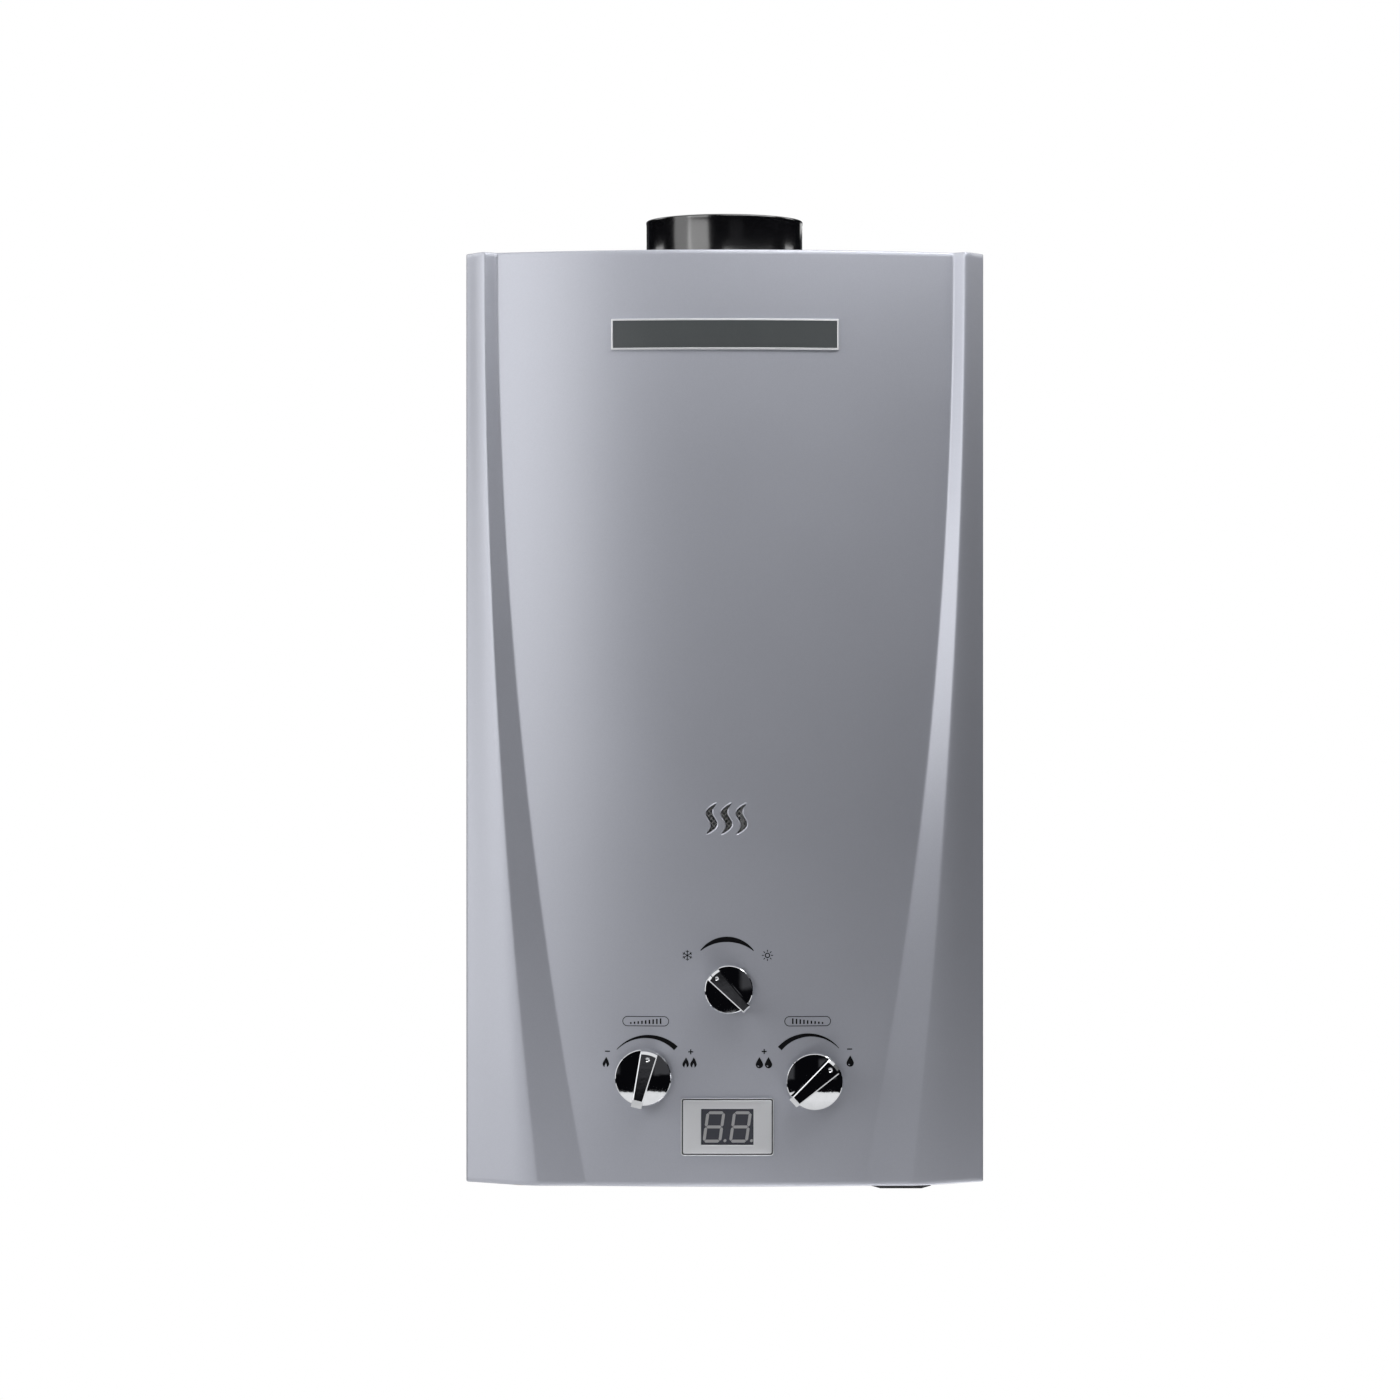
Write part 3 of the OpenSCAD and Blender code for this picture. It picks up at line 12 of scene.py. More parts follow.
import bmesh
import bpy
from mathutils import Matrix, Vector


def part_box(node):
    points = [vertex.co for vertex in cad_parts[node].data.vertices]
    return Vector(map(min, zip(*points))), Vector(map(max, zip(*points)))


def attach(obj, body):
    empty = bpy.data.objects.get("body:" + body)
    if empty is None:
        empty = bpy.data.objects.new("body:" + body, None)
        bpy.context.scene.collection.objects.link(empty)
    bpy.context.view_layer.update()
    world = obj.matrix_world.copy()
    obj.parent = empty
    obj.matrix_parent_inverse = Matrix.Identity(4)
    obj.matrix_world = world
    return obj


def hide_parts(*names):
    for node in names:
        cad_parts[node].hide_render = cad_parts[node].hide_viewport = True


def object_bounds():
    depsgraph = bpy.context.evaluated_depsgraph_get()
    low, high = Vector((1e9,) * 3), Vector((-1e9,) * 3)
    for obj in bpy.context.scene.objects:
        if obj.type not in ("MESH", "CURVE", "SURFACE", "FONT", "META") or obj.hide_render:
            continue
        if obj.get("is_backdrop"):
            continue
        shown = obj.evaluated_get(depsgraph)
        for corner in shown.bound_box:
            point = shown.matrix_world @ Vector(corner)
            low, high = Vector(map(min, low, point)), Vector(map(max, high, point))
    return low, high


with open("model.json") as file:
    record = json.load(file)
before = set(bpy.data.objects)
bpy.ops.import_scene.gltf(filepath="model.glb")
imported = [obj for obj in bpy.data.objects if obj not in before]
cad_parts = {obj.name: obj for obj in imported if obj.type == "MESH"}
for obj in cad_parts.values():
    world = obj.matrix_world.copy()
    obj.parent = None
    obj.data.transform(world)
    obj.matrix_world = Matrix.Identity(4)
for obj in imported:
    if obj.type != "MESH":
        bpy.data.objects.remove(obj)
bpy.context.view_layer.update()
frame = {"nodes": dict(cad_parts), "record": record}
nodes = frame["nodes"]
mm = 0.001
case_height = 628 * mm
mid_height = case_height / 2

# %% [markdown]
# ## Camera
# The heater was photographed square on from about three metres with a long lens, which is why
# its sides hardly show. A level camera with a lens of about 114 mm repeats that. The small
# sideways and upward shift of the viewpoint puts the heater where it sits in the picture.


# %% Camera
def new_object(name, data):
    made = bpy.data.objects.new(name, data)
    bpy.context.collection.objects.link(made)
    return made


camera_data = bpy.data.cameras.new("camera")
camera_data.sensor_width = 36.0
camera_data.lens = 113.94
camera = new_object("camera", camera_data)
camera.location = (-0.0168, -3.130, 0.0121)
camera.rotation_euler = (radians(90), 0, 0)
bpy.context.scene.camera = camera
print("camera looks along +y from", tuple(camera.location))

# %% [markdown]
# ## Node trees as expressions
# Dragging wires between dozens of Math nodes is slow to write and hard to read. One small class
# wraps a socket, so that `a * b + 1` adds the Math nodes by itself. It works the same in a
# material and in Geometry Nodes. Any other node comes from the method `node`.


# %% A socket that understands arithmetic
class Value:
    """A socket of a node tree that can stand in a Python expression."""

    def __init__(self, tree, socket=None):
        self.tree = tree
        self.socket = socket

    def node(self, kind, sockets=None, out=0, **settings):
        """Adds a node: its settings first, then the values or links of its sockets."""
        made = self.tree.nodes.new(kind)
        for name, setting in settings.items():
            setattr(made, name, setting)
        for key, given in (sockets or {}).items():
            for one in given if isinstance(given, list) else [given]:
                if isinstance(one, Value):
                    self.tree.links.new(one.socket, made.inputs[key])
                else:
                    made.inputs[key].default_value = one
        return Value(self.tree, made.outputs[out] if len(made.outputs) else None)

    def __getitem__(self, output):
        return Value(self.tree, self.socket.node.outputs[output])

    def math(self, operation, *others):
        return self.node("ShaderNodeMath", dict(enumerate((self, *others))), operation=operation)

    def turned(self, operation, first):
        return self.node("ShaderNodeMath", {0: first, 1: self}, operation=operation)

    def __add__(self, other):
        return self.math("ADD", other)

    def __sub__(self, other):
        return self.math("SUBTRACT", other)

    def __rsub__(self, other):
        return self.turned("SUBTRACT", other)

    def __mul__(self, other):
        return self.math("MULTIPLY", other)

    def __truediv__(self, other):
        return self.math("DIVIDE", other)

    def __rtruediv__(self, other):
        return self.turned("DIVIDE", other)

    def __pow__(self, other):
        return self.math("POWER", other)

    def __neg__(self):
        return self.math("MULTIPLY", -1.0)

    __radd__ = __add__
    __rmul__ = __mul__

    def share(self, start, end):
        """0 at start, 1 at end, held outside."""
        return self.node("ShaderNodeMapRange", {0: self, 1: start, 2: end})

    def blend(self, low, high):
        """A colour between two colours."""
        low, high = [c if isinstance(c, Value) else (*c, 1.0) for c in (low, high)]
        return self.node("ShaderNodeMix", {0: self, 6: low, 7: high}, 2, data_type="RGBA")

    def parts(self):
        """The three numbers of a vector."""
        return self.node("ShaderNodeSeparateXYZ", {0: self})

    def point(self, x=0.0, y=0.0, z=0.0):
        """A vector of three numbers."""
        return self.node("ShaderNodeCombineXYZ", {0: x, 1: y, 2: z})


print("arithmetic on sockets is ready")

# %% [markdown]
# ## Studio
# The heater hangs in front of pure white, lit by three large soft lamps on its left; small ones
# above, below and behind pick out its edges. Its chrome shows mostly black, because the room was
# dark. So the world is white wherever it is looked at, and a curved screen that only reflections
# meet stands all round: dark, with paler wings, high windows and a pale strip low down. The floor
# keeps a soft shadow, fades to white at its edge and is clear from below. A flag keeps a lamp off
# a piece that would mirror it as a spot, or keeps it on that piece alone.


# %% World, floor and screen
def start_tree(tree):
    tree.nodes.clear()
    return Value(tree)


def start_material(name):
    material = bpy.data.materials.new(name)
    material.use_nodes = True
    bench = start_tree(material.node_tree)
    return material, bench, bench.node("ShaderNodeTexCoord")["Object"]


def looked_at(bench):
    """1 on rays that show a thing to the camera, straight or in a reflection, and 0 on light rays."""
    ray = bench.node("ShaderNodeLightPath")
    return (ray["Is Camera Ray"] + ray["Is Glossy Ray"] + ray["Is Transmission Ray"]).math("MINIMUM", 1.0)


def mixed(share, first, second):
    """One surface turning into another."""
    return share.node("ShaderNodeMixShader", {0: share, 1: first, 2: second})


scene = bpy.context.scene
scene.view_settings.view_transform = "Standard"
world = bpy.data.worlds.new("studio")
world.use_nodes = True
scene.world = world
bench = start_tree(world.node_tree)
white = (1, 1, 1, 1)
room_light = 0.04
strength = room_light + (1 - room_light) * looked_at(bench)
sky = bench.node("ShaderNodeBackground", {"Color": white, "Strength": strength})
bench.node("ShaderNodeOutputWorld", {"Surface": sky})

floor_paint, bench, place = start_material("floor_paint")
away = place.node("ShaderNodeVectorMath", {0: place}, "Value", operation="LENGTH")
matt = bench.node("ShaderNodeBsdfDiffuse", {"Color": (0.86, 0.86, 0.85, 1)})
glow = bench.node("ShaderNodeEmission", {"Color": white, "Strength": 1.0})
surface = mixed(looked_at(bench) * (0.6 + 0.4 * away.share(1.6, 3.3)), matt, glow)
under = bench.node("ShaderNodeNewGeometry")["Backfacing"]
surface = mixed(under, surface, bench.node("ShaderNodeBsdfTransparent"))
bench.node("ShaderNodeOutputMaterial", {"Surface": surface})

screen_cloth, bench, place = start_material("screen_cloth")
spot = place.parts()
x, z = spot["X"], spot["Z"]
rag = 0.3 * place.node("ShaderNodeTexNoise", {"Vector": place, "Scale": 2.6})
beside = x.share(0.45, 0.65) * x.share(2.0, 1.8) + x.share(-1.45, -1.65) * x.share(-2.3, -2.1)
above = (z + rag).share(-0.30, -0.16) * z.share(1.5, 1.2)
grey_card = x.share(-0.35, -0.25) * x.share(0.09, 0.04) * z.share(-0.62, -0.58) * z.share(-0.42, -0.46)
tone = (beside * above + grey_card).blend((0.003, 0.003, 0.004), (0.060, 0.060, 0.064))
windows = (x.share(-1.8, -2.0) * x.share(-3.4, -3.2) + 0.2 * x.share(2.0, 2.2)) * z.share(1.8, 2.0)
low_strip = (z + rag).share(-1.33, -1.36)
rear_strip = spot["Y"].share(3.75, 3.85) * z.share(0.70, 0.64) * x.share(0.0, 0.2)
bright = (windows + low_strip + rear_strip).math("MINIMUM", 1.0)
tone = bright.blend(tone, (0.95, 0.95, 0.95))
glow = bench.node("ShaderNodeEmission", {"Color": tone, "Strength": 1.0})
bench.node("ShaderNodeOutputMaterial", {"Surface": glow})


def plain_mesh(name, points, faces, material=None):
    mesh = bpy.data.meshes.new(name)
    mesh.from_pydata(points, [], faces)
    if material:
        mesh.materials.append(material)
    return new_object(name, mesh)


floor_z = -1.55
floor_edge = ((-3.6, -3.9), (3.6, -3.9), (3.6, 3.4), (-3.6, 3.4))
floor = plain_mesh("floor", [(x, y, floor_z) for x, y in floor_edge], [(0, 1, 2, 3)], floor_paint)
floor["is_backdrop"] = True

screen_radius = 4.4
turns = [radians(a) for a in range(-170, 171, 5)]
rim = [(screen_radius * sin(a), -screen_radius * cos(a)) for a in turns]
steps = len(rim)
walls = [(i, i + 1, i + 1 + steps, i + steps) for i in range(steps - 1)]
screen = plain_mesh("dark_screen", [(x, y, z) for z in (-1.6, 3.4) for x, y in rim], walls, screen_cloth)
screen.visible_camera = False
screen.visible_shadow = False
screen.visible_diffuse = False
screen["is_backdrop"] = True
print("floor at", floor_z, "and a screen of", len(walls), "panels")


# %% Lamps and flags
def soft_lamp(name, place, target, size, watts):
    data = bpy.data.lights.new(name, "AREA")
    data.shape = "RECTANGLE"
    data.size, data.size_y = size
    data.energy = watts
    lamp = new_object(name, data)
    lamp.location = place
    lamp.rotation_euler = (Vector(target) - Vector(place)).to_track_quat("-Z", "Y").to_euler()
    lamp.visible_camera = False


def flag(name, state, *pieces):
    """Keeps a lamp's light off some pieces, or on them alone."""
    group = bpy.data.collections.new(name + "_flag")
    for piece in pieces:
        group.objects.link(piece)
    for entry in group.collection_objects:
        entry.light_linking.link_state = state
    bpy.data.objects[name].light_linking.receiver_collection = group


soft_lamp("left_front", (-1.78, -2.27, 0.60), (0, -0.1, 0.0), (1.6, 1.6), 17.8)
soft_lamp("left_window", (-2.54, -1.28, 0.46), (0, -0.1, 0.0), (1.4, 2.4), 14.8)
soft_lamp("left_side", (-2.80, -0.05, 0.60), (0, -0.1, 0.1), (1.6, 2.4), 14.6)
soft_lamp("top_box", (0.36, -0.50, 0.66), (0.12, -0.14, 0.18), (1.0, 0.3), 4.3)
soft_lamp("floor_bounce", (0.22, -0.34, -0.62), (0.05, -0.15, -0.25), (1.0, 0.24), 1.5)
soft_lamp("knob_strip", (-1.82, -2.19, 0.75), (0, -0.17, -0.24), (0.82, 2.1), 7.6)
soft_lamp("left_rear", (-2.40, 0.90, 1.25), (-0.17, -0.13, 0.30), (1.0, 1.0), 6)
soft_lamp("right_rear", (2.40, 0.90, 1.25), (0.17, -0.13, 0.30), (1.0, 1.0), 7)

# %% [markdown]
# ## Finishes
# A finish is what light meets: colour, roughness, and the small relief that breaks a highlight.
# Each one reads Object coordinates, which are metres on the heater itself, so a noise of scale
# 400 has grains of about 2.5 mm wherever the piece sits. Numbers that are the same all over go
# straight on the shader; only what changes from point to point is wired.


# %% A finish and its helpers
finishes = {}


def new_finish(name, **constants):
    """A material with its shader's plain values set; returns it with its coordinates."""
    material = bpy.data.materials.new(name)
    finishes[name] = material
    material.use_nodes = True
    shader = material.node_tree.nodes["Principled BSDF"]
    for socket, number in constants.items():
        shader.inputs[socket.replace("_", " ")].default_value = number
    return material, Value(material.node_tree).node("ShaderNodeTexCoord")["Object"]


def wire(material, **feeds):
    """Links what varies to the shader's sockets."""
    shader = material.node_tree.nodes["Principled BSDF"]
    for socket, given in feeds.items():
        material.node_tree.links.new(given.socket, shader.inputs[socket.replace("_", " ")])


def noise(place, scale, detail=2.0, stretch=None):
    """Cloudy noise from 0 to 1, stretched along an axis where asked."""
    if stretch:
        place = place.node("ShaderNodeMapping", {"Vector": place, "Scale": stretch})
    return place.node("ShaderNodeTexNoise", {"Vector": place, "Scale": scale, "Detail": detail})


def cells(place, scale):
    """A random number for each grain of a crystal pattern."""
    grain = place.node("ShaderNodeTexVoronoi", {"Vector": place, "Scale": scale}, "Color")
    return grain.node("ShaderNodeSeparateColor", {0: grain})


def relief(height, strength, depth):
    return height.node("ShaderNodeBump", {"Strength": strength, "Distance": depth, "Height": height})


print("finish helpers are ready")

# %% [markdown]
# ### Silver paint
# The casing is sprayed with a satin silver: aluminium flakes under a clear coat. Up close the
# flakes sparkle, from afar they only soften the reflection. Flakes are cells half a millimetre
# wide, each a little lighter or darker, under a faint orange-peel relief.

# %% Silver paint
lacquer = {"Coat_Weight": 1.0, "Coat_Roughness": 0.27, "Coat_IOR": 1.6}
silver_paint, place = new_finish("silver_paint", Metallic=0.60, **lacquer)
flake = cells(place, 2300.0)
drift = noise(place, 7.0, 3.0)
wire(
    silver_paint,
    Base_Color=(flake * 0.35 + drift * 0.65).blend((0.460, 0.475, 0.537), (0.533, 0.549, 0.617)),
    Roughness=0.41 + 0.05 * drift + 0.03 * flake,
    Normal=relief(noise(place, 420.0), 0.06, 0.0004),
)
print("made", list(finishes))

# %% [markdown]
# ### Black enamel and chrome
# The flue collar is fired with gloss black enamel, and the knobs are plated plastic. Both are
# nearly perfect mirrors, so their life is in the tiny ripples and the smudges of handling.

# %% Enamel, chrome and ink
black_enamel, place = new_finish("black_enamel", Coat_Weight=1.0, Coat_Roughness=0.14, Coat_IOR=1.7)
ripple = noise(place, 130.0)
wire(
    black_enamel,
    Base_Color=noise(place, 900.0).blend((0.0015, 0.0015, 0.002), (0.004, 0.004, 0.005)),
    Roughness=0.14 + 0.06 * ripple,
    Normal=relief(ripple, 0.05, 0.0006),
)

chrome, place = new_finish("chrome", Metallic=1.0)
smudge = noise(place, 160.0, 4.0)
wire(
    chrome,
    Base_Color=smudge.blend((0.62, 0.63, 0.65), (0.75, 0.76, 0.78)),
    Roughness=0.03 + 0.07 * smudge * smudge,
    Normal=relief(noise(place, 260.0), 0.015, 0.0004),
)

panel_ink, place = new_finish("panel_ink", Specular_IOR_Level=0.12)
patch = noise(place, 800.0)
wire(
    panel_ink,
    Base_Color=patch.blend((0.001, 0.001, 0.002), (0.004, 0.004, 0.005)),
    Roughness=0.42 + 0.15 * patch,
)
print("made", list(finishes)[1:])

# %% [markdown]
# ### Sheet and bar metals
# Galvanised sheet shows the frosty crystals of its zinc. Copper darkens where it gets hot, brass
# and steel keep the marks of their tools, and castings have the grain of their mould. They share
# one recipe: two colours mixed by a slow stain and a fine grain, and a relief of that grain.


# %% Metals
def bare_metal(name, bright, dull, rough, grain_scale, grain_depth, stain_scale=25.0, stretch=None):
    material, place = new_finish(name, Metallic=0.95)
    stain = noise(place, stain_scale, 4.0)
    grain = noise(place, grain_scale, 2.0, stretch)
    worn = (stain * 0.75 + grain * 0.25).share(0.30, 0.72)
    wire(
        material,
        Base_Color=worn.blend(bright, dull),
        Roughness=rough + 0.14 * worn,
        Normal=relief(grain, 0.25, grain_depth),
    )
    return material


up, level = (1, 1, 12), (1, 14, 1)
bare_metal("copper", (0.76, 0.42, 0.27), (0.36, 0.17, 0.10), 0.26, 900.0, 0.0002)
brass = bare_metal("brass", (0.74, 0.57, 0.28), (0.50, 0.36, 0.16), 0.24, 1100.0, 0.0002, 60.0, up)
bare_metal("cast_alloy", (0.60, 0.61, 0.62), (0.42, 0.43, 0.44), 0.42, 1300.0, 0.0005)
steel = bare_metal("steel", (0.66, 0.66, 0.65), (0.46, 0.46, 0.45), 0.26, 1500.0, 0.0002, 80.0)
bare_metal("stainless", (0.56, 0.54, 0.51), (0.34, 0.27, 0.22), 0.30, 700.0, 0.0002, 18.0, level)

zinc_sheet, place = new_finish("zinc_sheet", Metallic=0.9)
crystal = cells(place, 120.0)
frost = crystal * 0.7 + noise(place, 500.0) * 0.3
wire(
    zinc_sheet,
    Base_Color=frost.blend((0.50, 0.52, 0.53), (0.70, 0.72, 0.73)),
    Roughness=0.34 + 0.16 * crystal,
    Normal=relief(frost, 0.10, 0.0003),
)
print("made", list(finishes)[4:])

# %% [markdown]
# ### Mouldings and the rest
# Plastic, rubber and ceramic are not metals: their colour comes from inside, and the surface
# keeps the fine spark texture of the mould. The same recipe serves them all, with its own grain.
# A share of metal in it makes the plated trim.


# %% Mouldings
def moulding(name, low, high, rough, grain_scale, grain_strength, metal=0.0, coat=0.0):
    material, place = new_finish(name, Metallic=metal, Coat_Weight=coat)
    grain = noise(place, grain_scale, 3.0)
    cloud = noise(place, 30.0, 3.0)
    wire(
        material,
        Base_Color=(cloud * 0.6 + grain * 0.4).blend(low, high),
        Roughness=rough + 0.12 * grain,
        Normal=relief(grain, grain_strength, 0.0003),
    )
    return material


black_plastic = moulding("black_plastic", (0.020, 0.020, 0.022), (0.042, 0.042, 0.045), 0.42, 1600.0, 0.18)
grey_plastic = moulding("grey_plastic", (0.78, 0.79, 0.82), (0.86, 0.87, 0.90), 0.30, 1400.0, 0.04, 0.40)
moulding("smoked_window", (0.064, 0.066, 0.080), (0.080, 0.082, 0.098), 0.08, 300.0, 0.01, coat=0.4)
segment_grey = moulding("segment_grey", (0.33, 0.33, 0.34), (0.42, 0.42, 0.43), 0.40, 900.0, 0.05)
bright_trim = moulding("bright_trim", (0.74, 0.75, 0.77), (0.84, 0.85, 0.87), 0.30, 1400.0, 0.04, 0.45)
plate_field = moulding("plate_field", (0.085, 0.093, 0.096), (0.112, 0.122, 0.126), 0.30, 700.0, 0.06, 0.35)
mesh_black = moulding("mesh_black", (0.28, 0.28, 0.285), (0.40, 0.40, 0.405), 0.45, 2000.0, 0.2, 0.5)
moulding("rubber", (0.020, 0.020, 0.020), (0.045, 0.044, 0.042), 0.62, 1200.0, 0.3)
moulding("porcelain", (0.78, 0.76, 0.70), (0.88, 0.87, 0.83), 0.16, 500.0, 0.03, coat=0.5)
moulding("silicone", (0.46, 0.11, 0.05), (0.60, 0.17, 0.08), 0.48, 1500.0, 0.15)

circuit, place = new_finish("circuit")
track = noise(place, 260.0, 0.0, (1, 1, 4)).share(0.47, 0.50)
wire(
    circuit,
    Base_Color=track.blend((0.012, 0.10, 0.045), (0.03, 0.21, 0.09)),
    Roughness=0.36 - 0.12 * track,
    Normal=relief(track, 0.3, 0.0002),
)

cell_wrap, place = new_finish("cell_wrap", Coat_Weight=0.3)
band = (place.parts()["Z"] + mid_height).share(0.0475, 0.0478)
scuff = noise(place, 220.0, 4.0)
wire(
    cell_wrap,
    Base_Color=(band * 0.85 + scuff * 0.15).blend((0.02, 0.022, 0.026), (0.60, 0.33, 0.12)),
    Roughness=0.26 + 0.2 * scuff,
    Metallic=0.25 + 0.5 * band,
)
print("finishes:", list(finishes))

# %% [markdown]
# ## Growing a piece with Geometry Nodes
# A recipe is a node tree with named inputs for its sizes. An empty object carries it as a
# modifier just long enough to be evaluated; the result is then copied into a plain mesh, because
# instances and live trees would be lost when the model leaves Blender.


# %% Recipes and plain meshes
socket_kinds = {
    float: "NodeSocketFloat",
    int: "NodeSocketInt",
    tuple: "NodeSocketVector",
    bpy.types.Material: "NodeSocketMaterial",
    bpy.types.Object: "NodeSocketObject",
}


def settle(source, name):
    """Copies an object, modifiers applied, into a plain mesh object and removes the source."""
    ready = bpy.context.evaluated_depsgraph_get()
    mesh = bpy.data.meshes.new_from_object(source.evaluated_get(ready), depsgraph=ready)
    bpy.data.objects.remove(source)
    mesh.name = name
    return new_object(name, mesh)


def grow(name, build, sizes, points=()):
    """Runs a recipe with named inputs, on loose points where it needs them."""
    tree = bpy.data.node_groups.new(name, "GeometryNodeTree")
    tree.interface.new_socket("Geometry", in_out="INPUT", socket_type="NodeSocketGeometry")
    tree.interface.new_socket("Geometry", in_out="OUTPUT", socket_type="NodeSocketGeometry")
    keys = {}
    for label, size in sizes.items():
        kind = next(k for t, k in socket_kinds.items() if isinstance(size, t))
        keys[label] = tree.interface.new_socket(label, in_out="INPUT", socket_type=kind).identifier
    bench = Value(tree)
    given = bench.node("NodeGroupInput")
    shape = build(bench, {label: given[label] for label in ("Geometry", *sizes)})
    whole = bench.node("GeometryNodeRealizeInstances", {"Geometry": shape})
    whole = bench.node("GeometryNodeSetMaterial", {"Geometry": whole, "Material": given["Material"]})
    bench.node("NodeGroupOutput", {"Geometry": whole})
    holder = plain_mesh(name, list(points), [])
    recipe = holder.modifiers.new(name, "NODES")
    recipe.node_group = tree
    for label, size in sizes.items():
        recipe[keys[label]] = size
    return settle(holder, name)


def fit(piece, slot, *replaced, body="casing", angle=32):
    """Smooths a piece, crisp where edges pass the angle, hangs it on its body and hides the solids it
    replaces.
    """
    piece.data.polygons.foreach_set("use_smooth", [True] * len(piece.data.polygons))
    piece.data.set_sharp_from_angle(angle=radians(angle))
    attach(piece, body)
    if replaced:
        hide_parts(*replaced)
    print(piece.name, len(piece.data.polygons), "faces on", body)


print("recipes are ready")

# %% [markdown]
# ## Front cover
# One pressed sheet makes the front and both sides. Its rule: a bowed main panel, a valley, a
# sunk band that rises to a ridge, a sloping cheek that is roundest near that ridge, a tight
# corner, and a flat side wall. Ridge and valley swing outwards towards the top with the square
# of the height. Modelling that by hand would take hundreds of edge loops; here a flat grid is
# bent by the rule, with soft minimum and maximum to round the two creases.

# %% The rule of the panel
half_width = 175 * mm
side_depth = 130 * mm
crown = 32 * mm
rule = {
    "Ridge in": (13.5 * mm, 49.8 * mm),
    "Valley in": (20.8 * mm, 82 * mm),
    "Ridge out": (15 * mm, 26 * mm),
    "Valley out": (9 * mm, 26 * mm),
}
quarter = pi / 2


def swept(pair, z):
    drop = 1 - z / case_height
    return pair[0] + (pair[1] - pair[0]) * drop * drop


def panel_out(x, z):
    """How far the main panel stands forward of the side walls, at x and height z."""
    valley_x = half_width - swept(rule["Valley in"], z)
    low = swept(rule["Valley out"], z)
    return low + (crown - low) * (1 - (x / valley_x) ** 2)


def on_panel(x, z, out=0.0):
    """A point of the row frame on the panel, moved forward by out."""
    return (x, -(side_depth + panel_out(x, z)) - out, z - mid_height)


def cover_rule(bench, size):
    count = {"Vertices X": size["Columns"], "Vertices Y": size["Rows"]}
    grid = bench.node("GeometryNodeMeshGrid", {"Size X": 2.0, "Size Y": 1.0, **count})
    flat = bench.node("GeometryNodeInputPosition").parts()
    hand = flat["X"].math("SIGN")
    reach = flat["X"].math("ABSOLUTE")
    rise = flat["Y"] + 0.5
    half, tall, bend, corner = size["Half width"], size["Height"], size["Bend radius"], size["Corner radius"]

    valley_at, ridge_at, corner_at, wall_at = 0.4, 0.62, 0.86, 0.9
    lip_at, fold_at = 0.02, 0.05
    wall = reach.share(wall_at, 1.0)
    low_turn = rise.share(fold_at, lip_at) * quarter
    high_turn = rise.share(1 - fold_at, 1 - lip_at) * quarter
    lip = rise.share(lip_at, 0.0) + rise.share(1 - lip_at, 1.0)
    z = bend + (tall - 2 * bend) * rise.share(fold_at, 1 - fold_at)
    z = z + bend * (high_turn.math("SINE") - low_turn.math("SINE"))
    inset = bend * (1 - (low_turn + high_turn).math("COSINE")) + (size["Lip width"] - bend) * lip

    drop = 1 - z / tall

    def along(label):
        top = size[label + " top"]
        return top + (size[label + " bottom"] - top) * drop * drop

    ridge_x, valley_x = half - along("Ridge in"), half - along("Valley in")
    ridge_out, valley_out = along("Ridge out"), along("Valley out")
    x = valley_x * (1 - (1 - reach.share(0.0, valley_at)) ** 1.7)
    swing = (reach.share(valley_at, ridge_at) * pi).math("COSINE")
    x = x + (ridge_x - valley_x) * (0.5 - 0.5 * swing)
    fall_angle = ridge_out.math("ARCTAN2", half - ridge_x)
    cheek_end = half - corner * (1 - fall_angle.math("SINE"))
    x = x + (cheek_end - ridge_x) * reach.share(ridge_at, corner_at) ** 1.3
    fall = size["Crown"] - valley_out
    main = valley_out + fall * (1 - (x / valley_x) ** 2)
    slope = (ridge_out - valley_out) / (ridge_x - valley_x)
    band = valley_out + slope * (x - valley_x)
    cheek_share = (x - ridge_x) / (half - ridge_x)
    held = cheek_share.math("MAXIMUM", 0.0)
    cheek_slope = (1 - size["Cheek bulge"]) * ridge_out
    cheek = ridge_out * (1 - held) * (1 + size["Cheek bulge"] * held * (1 - held))
    cheek = cheek + cheek_slope * (-cheek_share).math("MAXIMUM", 0.0)
    soft = size["Crease width"]
    out = main.math("SMOOTH_MAX", band, soft * (slope + 2 * fall / valley_x))
    out = out.math("SMOOTH_MIN", cheek, soft * (slope + cheek_slope / (half - ridge_x)))

    round_off = reach.share(corner_at, wall_at)
    start = quarter - fall_angle
    arc = start * (1 - round_off)
    x = x + corner * (arc.math("COSINE") - start.math("COSINE"))
    out = out + corner * (arc.math("SINE") - start.math("SINE"))
    turned_in = 0.93 * held
    lean = quarter * (turned_in + (1 - turned_in) * round_off) ** 1.7
    y = (size["Side depth"] + out - size["Rear gap"]) * wall - size["Side depth"] - out
    x, y = hand * (x - lean.math("SINE") * inset), y + lean.math("COSINE") * inset
    spot = bench.point(x, y, z - tall / 2)
    return bench.node("GeometryNodeSetPosition", {"Geometry": grid, "Position": spot})


cover_sizes = {
    "Columns": 261,
    "Rows": 151,
    "Half width": half_width,
    "Height": case_height,
    "Side depth": side_depth,
    "Rear gap": 0.5 * mm,
    "Crown": crown,
    "Bend radius": 1 * mm,
    "Corner radius": 3 * mm,
    "Cheek bulge": 0.7,
    "Lip width": 10 * mm,
    "Crease width": 1.8 * mm,
    "Material": silver_paint,
}
for label, (top, bottom) in rule.items():
    cover_sizes[label + " top"] = top
    cover_sizes[label + " bottom"] = bottom
cover = grow("front_cover_sheet", cover_rule, cover_sizes)
print("cover skin:", len(cover.data.vertices), "points")

# %% [markdown]
# ## Skins from rings
# Cutters, knobs and fittings are all rows of rings: each ring is a closed loop of points, and
# neighbouring rings are joined by faces. A lathe is the same thing with round rings.


# %% Rings, lathes and shells
def circle(count):
    """Cosine and sine of equal steps round a circle."""
    turns = [2 * pi * k / count for k in range(count)]
    return [(cos(a), sin(a)) for a in turns]


